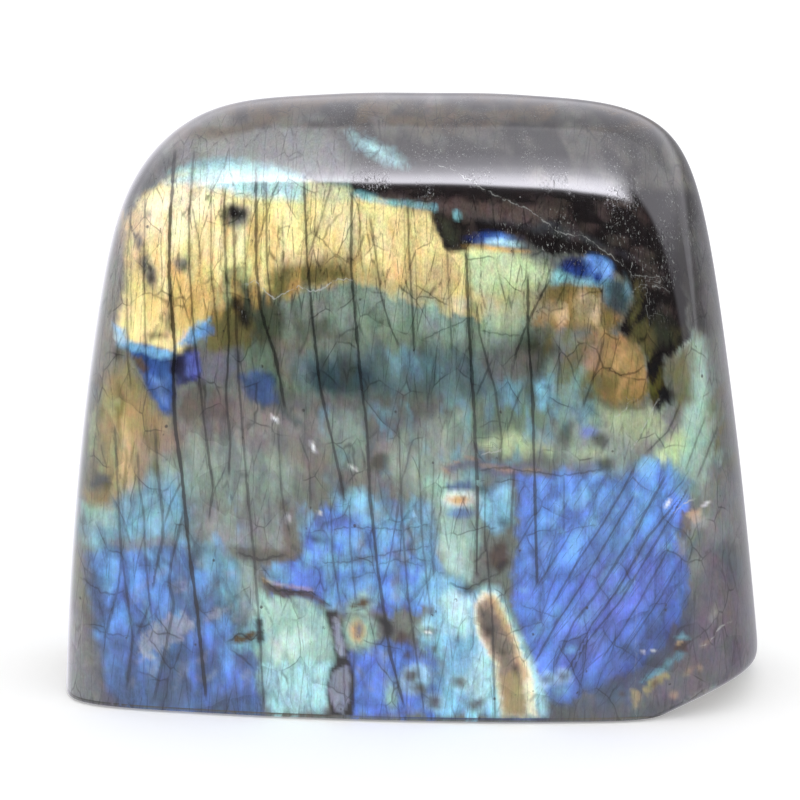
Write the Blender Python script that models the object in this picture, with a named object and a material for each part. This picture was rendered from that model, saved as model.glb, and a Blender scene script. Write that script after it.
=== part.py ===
# A polished freeform of labradorite that stands upright on a flat, sawn base.
# The stone is one natural piece. A lapidary grinds such a piece as a handful of
# gently bowed faces that run into each other over wide, soft edges, and it is
# modelled in the same way: each face is a shallow cap of a large sphere, and the
# faces are joined one after another with a rounding of their own.
# The frame has +X to the right, +Y to the back and +Z up, in metres.

from math import cos, exp, log, radians, sin

import bmesh
import bpy
from mathutils import Vector

MM = 0.001

# The middle of the stone, which every face is measured from, stands this high.
MIDDLE_HEIGHT = 50.0 * MM

# The ground faces, in the order in which they are joined. azimuth is the way a
# face looks, from 0 at the front through 90 at the right, and lean is how far it
# tips up, both in degrees. The rest is in millimetres: reach is the distance from
# the middle of the stone, bow is the radius of the face's curve, and edge sets how
# softly the face meets those before it.
FACES = (
    {"name": "front", "azimuth": -3.9, "lean": 8.0, "reach": 23.0, "bow": 330.0, "edge": 0.0},
    {"name": "back", "azimuth": 178.0, "lean": 5.0, "reach": 23.0, "bow": 300.0, "edge": 5.0},
    {"name": "left", "azimuth": 270.0, "lean": 8.0, "reach": 53.3, "bow": 600.0, "edge": 3.2},
    {"name": "right", "azimuth": 84.0, "lean": 8.0, "reach": 54.2, "bow": 1500.0, "edge": 6.0},
    {"name": "top", "azimuth": -10.0, "lean": 84.0, "reach": 51.4, "bow": 1200.0, "edge": 6.5},
    {"name": "left shoulder", "azimuth": 268.0, "lean": 46.5, "reach": 60.6, "bow": 240.0, "edge": 3.0},
    {"name": "right shoulder", "azimuth": 88.0, "lean": 44.0, "reach": 74.0, "bow": 150.0, "edge": 3.0},
    {"name": "undercut corner", "azimuth": 55.0, "lean": -62.5, "reach": 66.8, "bow": 400.0, "edge": 0.9},
    {"name": "back left flat", "azimuth": 222.0, "lean": 10.0, "reach": 47.5, "bow": 400.0, "edge": 2.0},
    {"name": "back top flat", "azimuth": 176.0, "lean": 50.0, "reach": 49.0, "bow": 250.0, "edge": 2.5},
)

# The block that the net of faces is laid out on before it is pressed on the form.
BLOCK = Vector((104 * MM, 44 * MM, 96 * MM))
BLOCK_CUTS = (33, 14, 29)
ROW_CROWDING = 1.15  # above 1, the rows of the net lie closer together towards the base
# Below this height the net is pressed straight out, so its rows stay level.
SPRING_HEIGHT = 46.0 * MM

BASE_EDGE = 1.0 * MM  # the small ground bevel round the base
BASE_EDGE_STEPS = 2
FARTHEST = 140 * MM  # no point of the stone lies farther from its axis
SEARCH_STEPS = 36

HALF = 0.5  # the block starts as a unit cube about the origin
INNER = 0.49  # of the block's width and depth, just inside its rim
ON_BASE = 1e-9  # a point this low lies on the base
SHARP_ANGLE = 35.0  # degrees between two faces that don't shade into each other


def facing(azimuth, lean):
    """The outward direction of a face."""
    a = radians(azimuth)
    e = radians(lean)
    return Vector((sin(a) * cos(e), -cos(a) * cos(e), sin(e)))


def cap_of(face):
    """The centre and radius of the sphere that a face is a cap of."""
    outward = facing(face["azimuth"], face["lean"])
    middle = Vector((0, 0, MIDDLE_HEIGHT))
    centre = middle + outward * (face["reach"] - face["bow"]) * MM
    return centre, face["bow"] * MM


CAPS = [(*cap_of(face), face["edge"] * MM) for face in FACES]


def outside(point):
    """How far a point lies outside the stone, negative inside it. The base isn't counted."""
    joined = None
    for centre, radius, edge in CAPS:
        off = (point - centre).length - radius
        if joined is None:
            joined = off
            continue
        most = max(joined, off)
        joined = most + edge * log(exp((joined - most) / edge) + exp((off - most) / edge))
    return joined


def pressed(start, toward):
    """The point of the stone's skin that lies from start in the direction of toward."""
    way = (toward - start).normalized()
    near, far = 0.0, FARTHEST
    for _ in range(SEARCH_STEPS):
        half = (near + far) / 2
        if outside(start + way * half) < 0:
            near = half
        else:
            far = half
    return start + way * near


def block_net(bm):
    """A block with its base at z = 0, cut into an even net of four-sided faces."""
    bmesh.ops.create_cube(bm, size=1)
    for axis, cuts in enumerate(BLOCK_CUTS):
        along = [e for e in bm.edges if abs(e.verts[0].co[axis] - e.verts[1].co[axis]) > HALF]
        bmesh.ops.subdivide_edges(bm, edges=along, cuts=cuts, use_grid_fill=True)
    for vert in bm.verts:
        share = max(vert.co.z + HALF, 0.0) ** ROW_CROWDING
        vert.co = Vector((vert.co.x * BLOCK.x, vert.co.y * BLOCK.y, share * BLOCK.z))


def open_base(bm):
    """Leaves only the outer rim of the net's underside."""
    across, deep = INNER * BLOCK.x, INNER * BLOCK.y
    low = [v for v in bm.verts if v.co.z < ON_BASE]
    inner = [v for v in low if abs(v.co.x) < across and abs(v.co.y) < deep]
    bmesh.ops.delete(bm, geom=inner, context="VERTS")
    under = [f for f in bm.faces if all(v.co.z < ON_BASE for v in f.verts)]
    bmesh.ops.delete(bm, geom=under, context="FACES")


def press_on_form(bm):
    """Moves each point of the net's sides and top out to the stone's skin."""
    for vert in bm.verts:
        start = Vector((0, 0, min(vert.co.z, SPRING_HEIGHT)))
        vert.co = pressed(start, vert.co)


def close_base(bm):
    """Closes the underside with one flat face, and bevels the edge round it."""
    rim = [e for e in bm.edges if e.is_boundary]
    bmesh.ops.contextual_create(bm, geom=rim)
    bmesh.ops.bevel(bm, geom=rim, offset=BASE_EDGE, segments=BASE_EDGE_STEPS, affect="EDGES")


def centred(bm):
    """Puts the middle of the stone's box over the origin."""
    for axis in (0, 1):
        low = min(v.co[axis] for v in bm.verts)
        high = max(v.co[axis] for v in bm.verts)
        for vert in bm.verts:
            vert.co[axis] -= (low + high) / 2


def labradorite_material():
    """Dark polished feldspar. The play of colour is only a finish, not a form."""
    material = bpy.data.materials.new("labradorite")
    material.use_nodes = True
    shader = material.node_tree.nodes["Principled BSDF"]
    shader.inputs["Base Color"].default_value = (0.16, 0.2, 0.27, 1)
    shader.inputs["Roughness"].default_value = 0.1
    shader.inputs["Metallic"].default_value = 0.0
    shader.inputs["IOR"].default_value = 1.56
    return material


def build_stone():
    bm = bmesh.new()
    block_net(bm)
    open_base(bm)
    press_on_form(bm)
    close_base(bm)
    centred(bm)
    bmesh.ops.recalc_face_normals(bm, faces=bm.faces)
    mesh = bpy.data.meshes.new("labradorite_stone")
    bm.to_mesh(mesh)
    bm.free()
    mesh.shade_smooth()
    mesh.set_sharp_from_angle(angle=radians(SHARP_ANGLE))
    mesh.materials.append(labradorite_material())
    stone = bpy.data.objects.new("labradorite_stone", mesh)
    bpy.context.scene.collection.objects.link(stone)


for leftover in list(bpy.data.objects):
    bpy.data.objects.remove(leftover)
build_stone()
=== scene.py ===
# A polished freeform of labradorite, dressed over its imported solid: the ground form with its
# fine skin, the play of colour painted over it, the polish, and a white product studio.

from math import cos, degrees, radians, sin

import bmesh
import bpy
import numpy as np
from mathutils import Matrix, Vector


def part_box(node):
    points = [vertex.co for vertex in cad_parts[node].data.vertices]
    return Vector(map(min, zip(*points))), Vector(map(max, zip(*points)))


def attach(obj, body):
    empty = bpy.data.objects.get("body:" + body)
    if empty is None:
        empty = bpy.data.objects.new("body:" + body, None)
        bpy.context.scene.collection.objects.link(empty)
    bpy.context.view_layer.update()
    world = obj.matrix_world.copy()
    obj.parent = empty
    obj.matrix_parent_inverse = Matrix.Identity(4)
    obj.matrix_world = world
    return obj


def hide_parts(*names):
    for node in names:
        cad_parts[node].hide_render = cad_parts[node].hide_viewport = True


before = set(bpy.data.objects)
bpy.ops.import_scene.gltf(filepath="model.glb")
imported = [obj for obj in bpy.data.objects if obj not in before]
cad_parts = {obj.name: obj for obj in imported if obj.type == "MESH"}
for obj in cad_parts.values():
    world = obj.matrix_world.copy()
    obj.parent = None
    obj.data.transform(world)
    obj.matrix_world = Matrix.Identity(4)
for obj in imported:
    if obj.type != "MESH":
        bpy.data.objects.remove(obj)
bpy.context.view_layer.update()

stoneBox = [np.array(corner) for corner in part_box("labradorite_stone")]
mm = 0.001

# The picture plane. Markings are laid out on it in pixels of the 800 x 800 photograph,
# x to the right and y down, and the camera stands where it is seen square on.
picture = {
    "side": 800,
    "elevation": 15.0,              # degrees
    "distance": 700 * mm,
    "pixel": 115 / 684 * mm,        # size of one pixel at the target
    "target": Vector((-2.175, 1.227, 48.2)) * mm,
    "sensor": 36.0,
}


def pictureAxes():
    lift = radians(picture["elevation"])
    back = np.array((0.0, -cos(lift), sin(lift)))   # from the target to the eye
    right = np.array((1.0, 0.0, 0.0))
    return right, np.cross(back, right), back


def spotsOf(points):      # pixel x and y of points in metres
    right, up, back = pictureAxes()
    fromEye = points - (np.array(picture["target"]) + back * picture["distance"])
    scale = picture["distance"] / picture["pixel"] / -(fromEye @ back)
    middle = picture["side"] / 2
    return middle + fromEye @ right * scale, middle - fromEye @ up * scale


# The form: faces ground one after another and run into each other. Each is azimuth (0 at the
# front, 90 at the right) and lean in degrees, then reach, bow and edge in millimetres.
form = {
    "middle": (0.0, 0.0, 50.0),
    "faces": {
        "front": (-3.9, 8.0, 23.0, 330, 0.0),
        "back": (178.0, 5.0, 23.0, 300, 5.0),
        "left": (270.0, 8.0, 53.3, 600, 3.2),
        "right": (84.0, 8.0, 54.2, 1500, 6.0),
        "top": (-10.0, 84.0, 51.4, 1200, 6.5),
        "left shoulder": (268.0, 46.5, 60.6, 240, 3.0),
        "right shoulder": (88.0, 44.0, 74.0, 150, 3.0),
        "undercut corner": (55.0, -62.5, 66.8, 400, 0.9),
        "back left flat": (222.0, 10.0, 47.5, 400, 2.0),
        "back top flat": (176.0, 50.0, 49.0, 250, 2.5),
    },
    "block": (108.0, 46.0, 96.0),   # the net is laid out on a block and pressed on the form
    "taper": (0.18, 0.56),          # how much narrower and thinner the block is at its top
    "cuts": (128, 22, 116),
    "spring": 46.0,                 # below this height the net is pressed straight out
    "farthest": 140.0,
    "halvings": 34,
    "baseEdge": 1.0,
    "baseCuts": 3,
    "sharpFrom": 50,                # degrees at which two faces meet in a sharp edge
    "fineFrom": -0.01,              # the net is finer in front of this share of the block's depth
    "waver": 0.03,                  # how far the hand-held polish leaves the true curve
    "waves": (3.1, 11.0, 13.0, 9.0, 12.0),
    "bends": (1.3, 1.7),            # how much one wave bends the next
}


def facing(azimuth, lean):
    a, e = radians(azimuth), radians(lean)
    return np.array((sin(a) * cos(e), -cos(a) * cos(e), sin(e)))


def outsideBy(points):    # millimetres outside the stone, negative inside it
    joined = None
    for azimuth, lean, reach, bow, edge in form["faces"].values():
        centre = np.array(form["middle"]) + facing(azimuth, lean) * (reach - bow)
        off = np.linalg.norm(points - centre, axis=1) - bow
        if joined is None:
            joined = off
            continue
        most = np.maximum(joined, off)
        joined = most + edge * np.log(np.exp((joined - most) / edge) + np.exp((off - most) / edge))
    x, y, z = points.T
    across, up, climb, through, along = form["waves"]
    bend, secondBend = form["bends"]
    waver = np.sin(x / across + bend * np.sin(z / up))
    waver = waver + np.sin(z / climb - y / through + secondBend * np.sin(x / along))
    return joined + form["waver"] * waver


def pressed(points):
    low = np.minimum(points[:, 2], form["spring"])
    start = np.stack([np.zeros_like(low), np.zeros_like(low), low], axis=1)
    way = points - start
    way /= np.linalg.norm(way, axis=1, keepdims=True)
    near = np.zeros(len(points))
    far = np.full(len(points), form["farthest"])
    for _ in range(form["halvings"]):
        half = (near + far) / 2
        inside = outsideBy(start + way * half[:, None]) < 0
        near = np.where(inside, half, near)
        far = np.where(inside, far, half)
    return start + way * near[:, None]


def blockNet(bm):         # the skin of the block without its underside, from one numbered lattice
    cuts = form["cuts"]
    shape = [count + 1 for count in cuts]
    onSkin = np.zeros(shape, bool)
    onSkin[[0, -1]] = True
    onSkin[:, [0, -1]] = True
    onSkin[:, :, -1] = True
    number = np.full(shape, -1)
    number[onSkin] = np.arange(onSkin.sum())
    share = np.argwhere(onSkin) / cuts - (0.5, 0.5, 0.0)
    places = share * form["block"]
    places[:, :2] *= 1 - share[:, 2:] * form["taper"]
    verts = [bm.verts.new(place) for place in places]
    sheets = (number[0], number[-1][::-1], number[:, 0][::-1], number[:, -1], number[:, :, -1])
    for sheet in sheets:
        corners = (sheet[:-1, :-1], sheet[:-1, 1:], sheet[1:, 1:], sheet[1:, :-1])
        for quad in np.stack(corners, axis=-1).reshape(-1, 4):
            bm.faces.new([verts[index] for index in quad])


def refineFront(bm):      # twice as fine over the front half, where the colour is
    start = form["fineFrom"] * form["block"][1]
    front = [edge for edge in bm.edges if max(vert.co.y for vert in edge.verts) < start]
    bmesh.ops.subdivide_edges(bm, edges=front, cuts=1, use_grid_fill=True)


def fitToBox(points):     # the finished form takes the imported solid's box
    low, high = points.min(axis=0), points.max(axis=0)
    boxLow, boxHigh = stoneBox
    return boxLow + (points - low) / (high - low) * (boxHigh - boxLow)


def stoneMesh():
    bm = bmesh.new()
    blockNet(bm)
    refineFront(bm)
    points = np.array([vert.co for vert in bm.verts])
    points = fitToBox(pressed(points))
    for vert, place in zip(bm.verts, points):
        vert.co = place
    rim = [edge for edge in bm.edges if edge.is_boundary]
    bmesh.ops.contextual_create(bm, geom=rim)
    bmesh.ops.bevel(bm, geom=rim, offset=form["baseEdge"] * mm, segments=form["baseCuts"], profile=0.5,
                    affect="EDGES")
    bmesh.ops.recalc_face_normals(bm, faces=bm.faces)
    mesh = bpy.data.meshes.new("polished stone")
    bm.to_mesh(mesh)
    bm.free()
    mesh.shade_smooth()
    mesh.set_sharp_from_angle(angle=radians(form["sharpFrom"]))
    return mesh


# The play of colour.
def linear(red, green, blue):         # a colour as a screen names it, 0 to 255, made linear
    share = np.array((red, green, blue)) / 255
    return np.where(share <= 0.04045, share / 12.92, ((share + 0.055) / 1.055) ** 2.4)


tints = {
    "ink": (23, 18, 18), "soot": (38, 35, 32), "umber": (86, 74, 70), "slate": (92, 96, 102),
    "margin": (126, 124, 116), "earth": (108, 104, 112), "bark": (92, 74, 48),
    "gold": (255, 236, 168), "straw": (255, 242, 168), "cream": (255, 246, 206), "amber": (228, 182, 106),
    "peach": (222, 192, 150), "lime": (208, 212, 142), "khaki": (170, 156, 112), "olive": (104, 98, 58),
    "moss": (58, 62, 48), "sage": (112, 130, 114), "paleSage": (150, 168, 158), "mint": (166, 202, 190),
    "celadon": (196, 214, 168), "teal": (92, 114, 120), "deepTeal": (56, 74, 80), "taupe": (108, 104, 96),
    "mauve": (134, 136, 134), "lilac": (110, 112, 130), "rose": (162, 140, 124), "lead": (112, 116, 112),
    "ice": (186, 238, 248), "aqua": (142, 204, 216), "lagoon": (116, 164, 186), "sky": (134, 194, 240),
    "azure": (118, 174, 255), "royal": (104, 138, 226), "cobalt": (60, 92, 158), "navy": (30, 58, 140),
    "violet": (108, 122, 210), "plum": (60, 64, 104), "tan": (162, 130, 88), "honey": (198, 162, 110),
    "white": (244, 246, 250), "copper": (152, 120, 74), "storm": (86, 98, 122),
    "frost": (222, 246, 240), "mist": (146, 150, 150), "denim": (104, 140, 200), "pearl": (158, 162, 182),
    "ash": (98, 98, 96), "jade": (130, 158, 150), "pool": (150, 214, 248), "glow": (204, 248, 255),
    "haze": (130, 126, 122),
}

# Zones of colour, painted in this order. Each is a tint, how soft its border is, how far the
# border wanders, how strong it is, and its outline, in pixels of the picture plane.
zones = {
    "upper body": ("soot", 20, 4, 1.0, (60, 60), (760, 60), (760, 330), (690, 340), (660, 260), (60, 200)),
    "shoulder brown": ("bark", 14, 5, 0.5, (170, 130), (230, 104), (300, 104), (296, 122), (230, 140),
        (180, 168)),
    "left shoulder flash": ("mist", 22, 5, 0.7, (150, 190), (190, 130), (330, 118), (352, 175), (250, 200)),
    "left margin": ("margin", 5, 3, 1.0, (66, 700), (92, 420), (110, 250), (140, 190), (150, 230),
        (128, 330), (104, 430), (96, 520), (92, 600), (96, 720)),
    "gold": ("gold", 4, 3, 1.0, (119, 340), (124, 280), (129, 222), (146, 194), (184, 170), (230, 168),
        (290, 178), (340, 186), (385, 200), (424, 202), (432, 212), (438, 236), (447, 250), (470, 248),
        (500, 250), (520, 290), (500, 325), (440, 312), (400, 302), (352, 282), (320, 288), (290, 298),
        (262, 290), (243, 262), (226, 268), (214, 300), (205, 330), (180, 353), (150, 344)),
    "cream head": ("cream", 12, 4, 0.9, (150, 205), (175, 185), (215, 186), (228, 205), (205, 215),
        (190, 240), (168, 246), (150, 236)),
    "peach edge": ("peach", 6, 3, 0.9, (130, 215), (142, 205), (150, 220), (146, 262), (132, 268)),
    "amber foot": ("amber", 10, 4, 0.7, (176, 268), (196, 262), (206, 300), (190, 335), (168, 322),
        (160, 300)),
    "amber brow": ("straw", 9, 4, 0.8, (262, 206), (300, 200), (330, 212), (318, 246), (300, 226),
        (270, 222)),
    "straw heart": ("straw", 9, 4, 0.85, (266, 205), (300, 208), (304, 248), (288, 258), (270, 252)),
    "peach brow": ("cream", 12, 4, 0.45, (318, 212), (352, 210), (352, 232), (324, 232)),
    "green fold": ("lime", 11, 5, 0.55, (226, 246), (262, 240), (268, 268), (246, 300), (214, 312),
        (204, 300), (222, 268)),
    "khaki foot": ("khaki", 10, 4, 0.9, (276, 258), (352, 252), (400, 280), (440, 296), (436, 312),
        (392, 300), (350, 284), (300, 290), (272, 288)),
    "olive foot": ("olive", 7, 4, 1.0, (270, 272), (306, 262), (346, 268), (352, 280), (318, 288),
        (288, 300), (268, 300)),
    "amber right": ("straw", 12, 5, 0.4, (356, 208), (400, 206), (424, 226), (400, 262), (364, 262)),
    "dusty right": ("khaki", 14, 5, 0.5, (400, 262), (452, 256), (470, 290), (440, 296), (404, 286)),
    "lime right": ("celadon", 8, 4, 1.0, (462, 252), (500, 250), (540, 262), (552, 280), (530, 296),
        (488, 300), (468, 282)),
    "tan shadow": ("khaki", 12, 4, 0.8, (468, 296), (520, 288), (556, 300), (552, 330), (510, 318),
        (470, 316)),
    "cyan brow": ("ice", 7, 3, 0.85, (166, 184), (186, 170), (232, 160), (262, 164), (304, 176), (302, 200),
        (262, 198), (226, 192), (192, 184)),
    "cyan brow edge": ("aqua", 5, 3, 0.6, (170, 172), (200, 160), (240, 158), (240, 166), (200, 170)),
    "teal brow": ("mint", 6, 3, 0.45, (290, 182), (352, 180), (352, 200), (332, 206), (306, 194)),
    "sage field": ("sage", 3, 5, 1.0, (236, 300), (262, 296), (284, 308), (300, 290), (322, 288), (334, 291),
        (352, 280), (400, 300), (444, 316), (500, 316), (540, 318), (548, 350), (560, 400), (540, 430),
        (470, 446), (430, 440), (350, 420), (280, 400), (240, 352)),
    "dark fold": ("moss", 8, 5, 0.9, (232, 274), (256, 284), (286, 312), (282, 350), (250, 344), (234, 310)),
    "grey shelf": ("lead", 9, 4, 0.55, (286, 308), (350, 296), (360, 350), (320, 352), (286, 338)),
    "shelf edge": ("moss", 5, 4, 0.6, (292, 322), (340, 318), (346, 340), (300, 340)),
    "taupe shelf": ("taupe", 7, 4, 0.8, (270, 342), (312, 338), (310, 374), (290, 386), (272, 372)),
    "teal glow": ("teal", 8, 4, 0.7, (292, 358), (312, 354), (312, 382), (296, 390)),
    "pale panes": ("paleSage", 9, 4, 0.7, (384, 292), (402, 290), (400, 322), (388, 328)),
    "pale panes two": ("mint", 10, 4, 0.8, (422, 300), (446, 312), (444, 330), (424, 326)),
    "pale panes three": ("celadon", 12, 4, 0.55, (478, 302), (524, 300), (528, 326), (500, 336), (480, 326)),
    "pale panes four": ("mint", 12, 4, 0.5, (452, 318), (466, 320), (466, 350), (452, 346)),
    "dusk": ("teal", 10, 5, 0.9, (300, 360), (360, 350), (460, 348), (540, 360), (552, 384), (480, 398),
        (380, 402), (316, 398)),
    "dusk glow": ("lagoon", 8, 4, 0.45, (382, 352), (410, 350), (440, 368), (430, 380), (400, 370)),
    "deep dusk": ("deepTeal", 10, 5, 1.0, (312, 364), (350, 358), (372, 364), (376, 386), (350, 398),
        (312, 396)),
    "green wedge": ("moss", 9, 4, 1.0, (514, 350), (530, 330), (548, 326), (556, 352), (540, 372),
        (516, 374)),
    "grey wedge": ("lead", 10, 4, 0.7, (556, 340), (592, 326), (600, 350), (580, 372), (560, 372)),
    "copper patch": ("copper", 7, 4, 1.0, (533, 322), (545, 300), (560, 283), (600, 280), (618, 296),
        (620, 320), (604, 334), (590, 330), (560, 330), (544, 326)),
    "honey pane": ("peach", 3, 2, 0.9, (556, 304), (566, 306), (568, 320), (560, 330), (553, 318)),
    "honey pane two": ("cream", 8, 3, 0.5, (578, 296), (600, 300), (600, 326), (580, 322)),
    "olive crown": ("olive", 7, 3, 0.45, (556, 282), (590, 280), (590, 292), (560, 296)),
    "tan block": ("tan", 4, 3, 1.0, (586, 342), (604, 330), (616, 332), (640, 348), (645, 372), (652, 396),
        (640, 408), (618, 404), (596, 398), (580, 384)),
    "tan block glow": ("honey", 7, 3, 0.5, (608, 350), (632, 352), (640, 376), (620, 384), (608, 372)),
    "rose block": ("rose", 8, 3, 0.7, (580, 344), (600, 340), (596, 372), (580, 380)),
    "lagoon": ("jade", 9, 5, 0.9, (556, 372), (580, 366), (594, 392), (604, 404), (600, 430), (560, 420),
        (548, 392)),
    "sky panes": ("pool", 6, 3, 0.7, (534, 384), (552, 380), (556, 404), (540, 408)),
    "sky panes two": ("lagoon", 7, 3, 0.9, (498, 380), (520, 382), (518, 410), (500, 404)),
    "olive slope": ("celadon", 10, 5, 0.6, (600, 404), (640, 408), (664, 412), (660, 440), (630, 446),
        (604, 430)),
    "sage slope": ("paleSage", 10, 5, 0.75, (560, 418), (610, 428), (640, 446), (620, 468), (560, 462),
        (548, 440)),
    "cream shelf": ("celadon", 7, 3, 0.7, (478, 440), (500, 433), (545, 434), (552, 452), (500, 456)),
    "lime bank": ("celadon", 6, 3, 0.4, (572, 452), (604, 452), (602, 462), (574, 462)),
    "right flash": ("paleSage", 8, 4, 1.0, (664, 350), (690, 330), (704, 340), (713, 400), (718, 450),
        (712, 484), (690, 500), (668, 470), (652, 458), (672, 430), (690, 396), (690, 364)),
    "right flash heart": ("mint", 9, 4, 0.9, (692, 356), (702, 352), (708, 410), (700, 450), (684, 480),
        (668, 468), (680, 440), (694, 400)),
    "right flash lime": ("celadon", 7, 4, 0.9, (660, 446), (682, 424), (690, 436), (676, 466), (658, 464)),
    "crescent": ("mauve", 5, 3, 0.9, (632, 452), (654, 432), (664, 408), (682, 400), (684, 420), (666, 444),
        (646, 460)),
    "crescent glow": ("celadon", 5, 3, 0.6, (650, 438), (660, 424), (668, 430), (654, 446)),
    "right dusk": ("lead", 9, 4, 0.8, (664, 352), (684, 346), (692, 372), (686, 394), (668, 400),
        (660, 376)),
    "violet belt": ("haze", 14, 6, 1.0, (176, 404), (250, 392), (330, 402), (420, 416), (470, 446),
        (452, 478), (400, 492), (330, 486), (290, 470), (210, 470), (172, 440)),
    "ash belt": ("ash", 10, 6, 0.85, (256, 396), (340, 398), (470, 396), (478, 410), (430, 424), (340, 420),
        (276, 410)),
    "slate bloom": ("jade", 10, 5, 0.6, (330, 414), (362, 412), (366, 446), (356, 474), (338, 470),
        (328, 440)),
    "plum streak": ("slate", 8, 4, 0.8, (364, 424), (392, 416), (420, 416), (418, 430), (390, 440),
        (370, 446)),
    "sage bloom": ("paleSage", 10, 5, 0.7, (394, 436), (424, 424), (470, 404), (474, 470), (440, 496),
        (396, 500), (388, 460)),
    "smoke wedge": ("ash", 9, 5, 0.9, (482, 350), (516, 344), (534, 356), (530, 380), (500, 384),
        (482, 372)),
    "navy pools": ("deepTeal", 6, 4, 0.7, (238, 376), (258, 370), (274, 378), (284, 404), (306, 428),
        (278, 414), (252, 404)),
    "lilac belt": ("ash", 9, 4, 0.8, (196, 350), (236, 346), (250, 366), (238, 384), (206, 384), (192, 368)),
    "gold margin": ("khaki", 9, 5, 0.85, (104, 392), (130, 356), (146, 396), (172, 420), (170, 440),
        (150, 452), (140, 486), (104, 500), (98, 440)),
    "amber margin": ("peach", 10, 4, 0.6, (116, 424), (130, 414), (136, 452), (128, 486), (114, 470)),
    "bark margin": ("tan", 10, 5, 0.5, (108, 372), (132, 388), (160, 420), (140, 440), (112, 420)),
    "olive plate": ("olive", 5, 4, 0.95, (194, 338), (214, 312), (236, 300), (246, 318), (258, 332),
        (240, 350), (214, 354)),
    "brown arch": ("umber", 5, 4, 0.6, (178, 404), (184, 390), (204, 386), (226, 394), (236, 408),
        (222, 420), (190, 424)),
    "rose belt": ("rose", 10, 4, 0.8, (138, 440), (176, 422), (180, 448), (160, 462), (140, 470)),
    "left sage": ("paleSage", 14, 6, 0.7, (158, 458), (186, 446), (230, 438), (262, 450), (300, 470),
        (280, 500), (240, 520), (204, 500), (170, 490)),
    "left grey": ("mist", 12, 5, 0.8, (196, 510), (240, 516), (290, 500), (300, 540), (270, 560),
        (204, 556)),
    "left teal": ("pool", 16, 5, 0.5, (84, 508), (112, 508), (150, 480), (180, 478), (190, 510), (190, 540),
        (150, 548), (90, 548), (80, 530)),
    "left teal glow": ("sky", 7, 4, 0.6, (162, 486), (178, 488), (180, 508), (164, 506)),
    "blue left": ("denim", 8, 4, 1.0, (88, 560), (100, 548), (150, 546), (186, 544), (214, 590), (246, 640),
        (258, 660), (262, 716), (128, 716), (108, 690), (102, 640), (92, 600)),
    "blue left glow": ("sky", 8, 4, 1.0, (98, 552), (116, 550), (120, 590), (108, 602), (100, 580)),
    "blue left glow two": ("azure", 9, 4, 0.5, (110, 604), (128, 610), (124, 634), (108, 630)),
    "blue left glow three": ("azure", 10, 4, 0.5, (126, 560), (144, 560), (142, 600), (126, 596)),
    "teal slope": ("lagoon", 14, 6, 0.8, (192, 540), (238, 556), (250, 600), (240, 626), (220, 600),
        (196, 570)),
    "lilac slope": ("sky", 10, 5, 0.5, (200, 560), (222, 572), (224, 600), (204, 596)),
    "violet foot": ("storm", 10, 5, 0.6, (150, 680), (180, 664), (250, 690), (254, 712), (150, 712)),
    "cyan foot glow": ("glow", 8, 4, 1.0, (290, 664), (326, 662), (326, 684), (312, 704), (288, 708),
        (284, 684)),
    "blue left royal": ("royal", 9, 5, 0.7, (104, 600), (120, 566), (150, 576), (160, 620), (140, 680),
        (112, 670)),
    "blue left deep": ("royal", 12, 6, 0.8, (188, 630), (214, 626), (252, 650), (256, 700), (200, 700),
        (180, 664)),
    "left foot": ("earth", 7, 5, 1.0, (62, 600), (88, 612), (98, 650), (108, 690), (126, 720), (60, 724)),
    "sage strip": ("paleSage", 7, 4, 0.9, (238, 556), (256, 560), (260, 600), (256, 640), (244, 620)),
    "cream meadow": ("mint", 6, 4, 1.0, (258, 594), (300, 596), (324, 612), (338, 656), (330, 664),
        (262, 664), (252, 640)),
    "cream meadow glow": ("frost", 8, 4, 0.7, (272, 640), (300, 630), (312, 640), (296, 656), (276, 654)),
    "cyan foot": ("ice", 6, 4, 0.85, (262, 664), (332, 660), (334, 690), (322, 714), (270, 714), (258, 690)),
    "violet field": ("royal", 6, 4, 1.0, (302, 530), (322, 510), (350, 500), (400, 506), (426, 530),
        (444, 566), (440, 606), (390, 612), (352, 606), (310, 598), (274, 590), (282, 562), (304, 556)),
    "violet field heart": ("azure", 12, 5, 0.5, (330, 530), (376, 526), (412, 560), (396, 600), (350, 576)),
    "cyan crown": ("pool", 8, 4, 0.8, (334, 496), (362, 490), (384, 504), (400, 520), (380, 530),
        (340, 512)),
    "sky pane": ("azure", 5, 3, 0.9, (352, 516), (367, 516), (367, 534), (353, 534)),
    "sky pane two": ("azure", 5, 3, 0.8, (340, 590), (350, 578), (352, 594), (342, 604)),
    "ice pocket": ("sky", 6, 3, 0.8, (266, 566), (288, 562), (292, 580), (274, 584)),
    "cyan border": ("pool", 8, 5, 0.9, (400, 500), (432, 504), (436, 560), (446, 590), (430, 620),
        (424, 580), (412, 536)),
    "sage column": ("mint", 6, 4, 0.85, (420, 478), (478, 476), (480, 540), (474, 580), (452, 590),
        (440, 560), (434, 520)),
    "sage column glow": ("frost", 7, 4, 0.35, (442, 540), (460, 536), (462, 570), (448, 578)),
    "grey crown": ("paleSage", 7, 5, 0.7, (392, 462), (436, 452), (440, 474), (400, 480)),
    "teal column": ("pool", 7, 4, 0.9, (480, 486), (508, 478), (512, 520), (498, 532), (482, 520)),
    "violet foot two": ("royal", 6, 4, 1.0, (350, 652), (392, 640), (432, 650), (446, 680), (440, 716),
        (352, 716)),
    "violet foot glow": ("azure", 5, 3, 0.6, (378, 650), (390, 648), (388, 674), (376, 670)),
    "cyan lake": ("pool", 7, 4, 1.0, (430, 592), (456, 576), (476, 594), (478, 640), (494, 680), (498, 716),
        (440, 716), (436, 660), (420, 640)),
    "cyan lake glow": ("glow", 8, 4, 1.0, (440, 596), (470, 592), (474, 630), (456, 640), (442, 624)),
    "cyan lake glow two": ("glow", 8, 4, 0.8, (474, 650), (486, 656), (494, 690), (480, 712), (468, 690)),
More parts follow.
